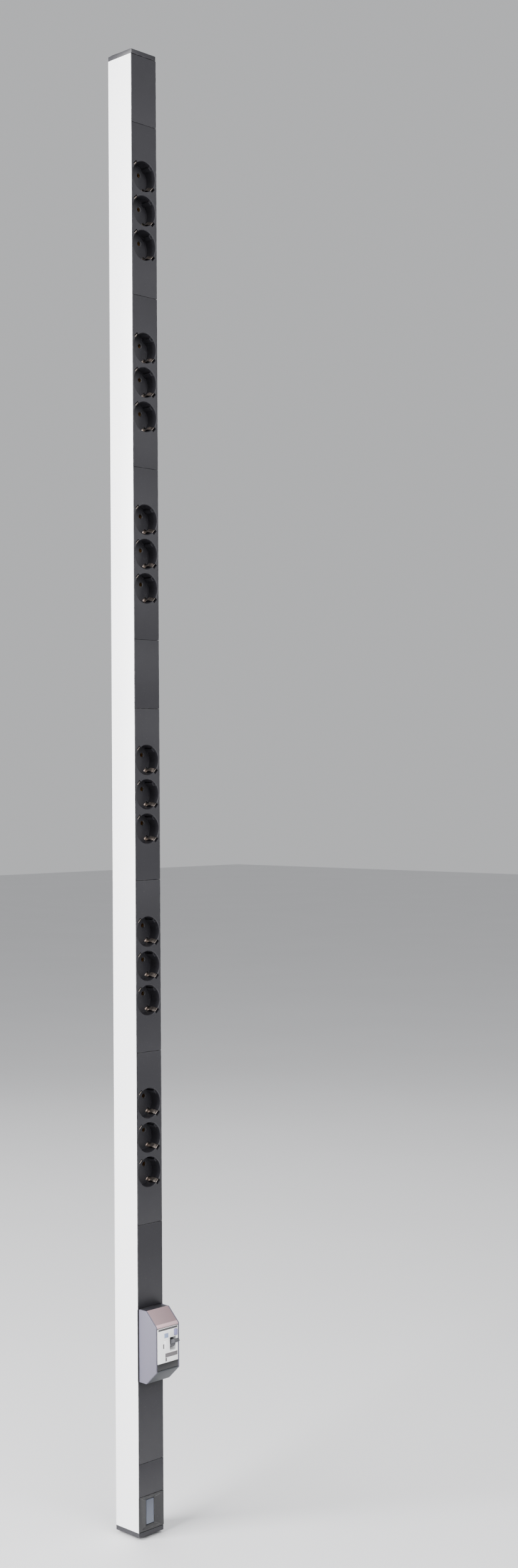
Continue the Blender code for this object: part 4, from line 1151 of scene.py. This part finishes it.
@dataclass
class BreakerBay:
    """The hooded breaker: carrier, hood, breaker, toggle, test button, rail and latch."""

    hood_round: float = 0.6 * MM
    nose_round: float = 0.7 * MM
    carrier_round: float = 0.4 * MM
    lever_tip: float = 1.4 * MM
    lever_thickness: float = 4.4 * MM
    rest_angle: float = radians(24)
    ridge: float = 0.4 * MM
    ridge_length: float = 7.6 * MM
    ridge_pitch: float = 1.5 * MM
    first_ridge: float = 9.0 * MM
    ridges: int = 3
    ridge_sides: int = 12
    panels: tuple[NosePanel, ...] = (
        # A flat dark sheet across the top of the nose: painted shade standing for the gap under the hood's
        # lip.
        NosePanel("nose_gap_painted_shade", -16.6 * MM, 17.0 * MM, 19.6 * MM, 22.2 * MM, 0.04 * MM, Finishes.PAINTED_GAP_SHADE),
        NosePanel(
            "nose_pad", -5.4 * MM, 2.9 * MM, -5.0 * MM, 6.0 * MM, 0.8 * MM, Finishes.WHITE, rounding=0.3 * MM
        ),
        NosePanel("nose_flag", -8.4 * MM, -6.2 * MM, -4.0 * MM, 2.0 * MM, 0.05 * MM, Finishes.PRINT),
        NosePanel("nose_mark", -6.0 * MM, 1.0 * MM, 9.4 * MM, 15.4 * MM, 0.05 * MM, Finishes.PALE_PRINT),
        NosePanel("nose_label", -4.6 * MM, 17.0 * MM, -16.0 * MM, -10.6 * MM, 0.05 * MM, Finishes.PRINT),
        NosePanel("nose_strip", -4.4 * MM, -1.6 * MM, -21.0 * MM, -16.4 * MM, 0.05 * MM, Finishes.PRINT),
    )

    def build(self) -> None:
        """Builds every piece of the bay."""
        hood = Bench.soften(Bench.from_node("breaker_hood"), self.hood_round, 3, 20.0)
        dress(hood, Finishes.HOOD, ["breaker_hood"])
        carrier = FLANGE.add(Bench.from_node("breaker_carrier"))
        dress(Bench.soften(carrier, self.carrier_round), Finishes.BLACK, ["breaker_carrier"])
        filler = Bench.soften(Bench.from_node("nose_filler"), self.carrier_round)
        dress(filler, Finishes.GLOSS_BLACK, ["nose_filler"])
        breaker = Bench.soften(Bench.from_node("breaker_body"), self.nose_round, 3)
        dress(breaker, Finishes.WHITE, ["breaker_body"])
        rail = Bench.soften(Bench.from_node("din_rail"), self.carrier_round / 2)
        dress(rail, Finishes.ZINC, ["din_rail"])
        latch = Bench.soften(Bench.from_node("din_latch"), self.carrier_round)
        dress(latch, Finishes.TOGGLE, ["din_latch"], Body.LATCH)
        self.toggle()
        self.button()
        self.marks()

    def toggle(self) -> None:
        """The toggle: a round hub and a lever with a rounded tip and grip ridges."""
        piece = Bench.soften(Bench.from_node("breaker_toggle"), self.lever_tip, 4, 60.0)
        hinge = joint_place("toggle_swing")
        along = Matrix.Rotation(-self.rest_angle, 3, "X") @ Way.OUT.value
        across = Matrix.Rotation(-self.rest_angle, 3, "X") @ Way.UP.value
        for number in range(self.ridges):
            for side in (-1, 1):
                middle = hinge + along * (self.first_ridge + number * self.ridge_pitch)
                middle += across * side * self.lever_thickness / 2
                start = middle - Way.ACROSS.value * self.ridge_length / 2
                bar = Bench.rod(
                    "grip_ridge", start, Way.ACROSS, self.ridge_length, self.ridge, self.ridge_sides
                )
                Bench.combine(piece, bar, "UNION")
        dress(piece, Finishes.TOGGLE, ["breaker_toggle"], Body.TOGGLE)

    def button(self) -> None:
        """The test button with rounded edges."""
        piece = Bench.soften(Bench.from_node("test_button"), self.nose_round, 3)
        dress(piece, Finishes.VIOLET, ["test_button"], Body.BUTTON)

    def marks(self) -> None:
        """The plain printed panels, the raised pad and the painted-shade strip on the breaker's nose."""
        nose = Box.of("breaker_body")
        middle = Vector((0, nose.low.y, nose.centre.z))
        for mark in self.panels:
            low = middle + Vector((mark.left, -mark.height, mark.low))
            high = middle + Vector((mark.right, mark.sunk, mark.high))
            piece = Bench.soften(Bench.block(mark.name, low, high), mark.rounding)
            dress(piece, mark.finish, [])


@dataclass
class Insides:
    """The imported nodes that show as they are: the contacts, wires and feed terminals."""

    def build(self) -> None:
        """Gives each node that is still shown the finish of its own slot."""
        finishes = Finishes.by_slot()
        for part in frame["record"]["subparts"]:
            node = frame["nodes"][part["node"]]
            if node.hide_render:
                continue
            finish = finishes[part["material_slot"]]
            node.data.materials.clear()
            node.data.materials.append(finish.material())
            for face in node.data.polygons:
                face.material_index = 0
            LOG.info("%s keeps its packed shape, %s", node.name, finish.slot)


@dataclass
class Studio:
    """The pale floor, the soft light and the camera."""

    azimuth: float = radians(41.6)
    distance: float = 2.5532
    height: float = 0.0111
    turned_right: float = radians(3.65)
    lean: float = radians(-0.317)
    lens: float = 44.33
    floor_size: float = 30.0
    target: Vector = field(default_factory=lambda: Vector((0, -23 * MM, 0)))

    def build(self) -> None:
        """Builds the stage."""
        self.camera()
        self.floor()
        self.world()
        self.lamp("key", Vector((-2.6, 0.4, 0.9)), 2.2, 360.0)
        self.lamp("front", Vector((-0.5, -2.6, 1.6)), 2.0, 100.0)
        self.lamp("sheen", Vector((1.95, -2.2, 0.62)), 1.1, 9.0)
        self.lamp("rear", Vector((1.4, 2.2, 1.6)), 2.0, 30.0)

    def camera(self) -> None:
        """The camera, level at mid height, to the left of the sockets' front."""
        back = Vector((-sin(self.azimuth), -cos(self.azimuth), 0))
        spot = self.target + back * self.distance + Vector((0, 0, self.height))
        look = Matrix.Rotation(-self.turned_right, 3, "Z") @ -back
        data = bpy.data.cameras.new("camera")
        data.lens = self.lens
        data.sensor_width = 36.0
        data.clip_start = 0.05
        made = bpy.data.objects.new("camera", data)
        bpy.context.scene.collection.objects.link(made)
        turn = look.to_track_quat("-Z", "Y").to_matrix().to_4x4()
        made.matrix_world = Matrix.Translation(spot) @ turn @ Matrix.Rotation(self.lean, 4, "Z")
        bpy.context.scene.camera = made

    def floor(self) -> None:
        """A wide pale floor under the strip."""
        bpy.ops.object.select_all(action="DESELECT")
        bpy.ops.mesh.primitive_plane_add(size=self.floor_size, location=(0, 0, CAD_BOX[0].z - 0.002))
        made = bpy.context.object
        made.name = "floor"
        graph = Graph("floor_finish")
        base = graph.blend(graph.noise(0.6, 2), (0.66, 0.66, 0.67), (0.70, 0.70, 0.71))
        graph.feed(graph.shader.inputs["Base Color"], base)
        graph.shader.inputs["Roughness"].default_value = 0.7
        made.data.materials.append(graph.material)

    def world(self) -> None:
        """An even pale surround."""
        world = bpy.data.worlds.new("studio")
        world.use_nodes = True
        surround = world.node_tree.nodes["Background"]
        surround.inputs["Color"].default_value = (0.93, 0.94, 0.96, 1.0)
        surround.inputs["Strength"].default_value = 0.6
        bpy.context.scene.world = world

    def lamp(self, name: str, spot: Vector, size: float, power: float) -> None:
        """A large soft lamp aimed at the strip.

        Args:
            name: The lamp's name.
            spot: Where it stands.
            size: Its side in metres.
            power: Its power in watts.
        """
        data = bpy.data.lights.new(name, "AREA")
        data.shape = "SQUARE"
        data.size = size
        data.energy = power
        made = bpy.data.objects.new(name, data)
        bpy.context.scene.collection.objects.link(made)
        made.matrix_world = Matrix.Translation(spot) @ (-spot).to_track_quat("-Z", "Y").to_matrix().to_4x4()


def main() -> None:
    """Builds the stage and every sub-assembly."""
    logging.basicConfig(level=logging.INFO, format="%(name)s: %(message)s")
    Studio().build()
    Channel().build()
    sockets = Sockets()
    sockets.build()
    EarthClips().build(sockets)
    Covers().build()
    StatusWindow().build()
    BreakerBay().build()
    Insides().build()


if __name__ == "__main__":
    main()
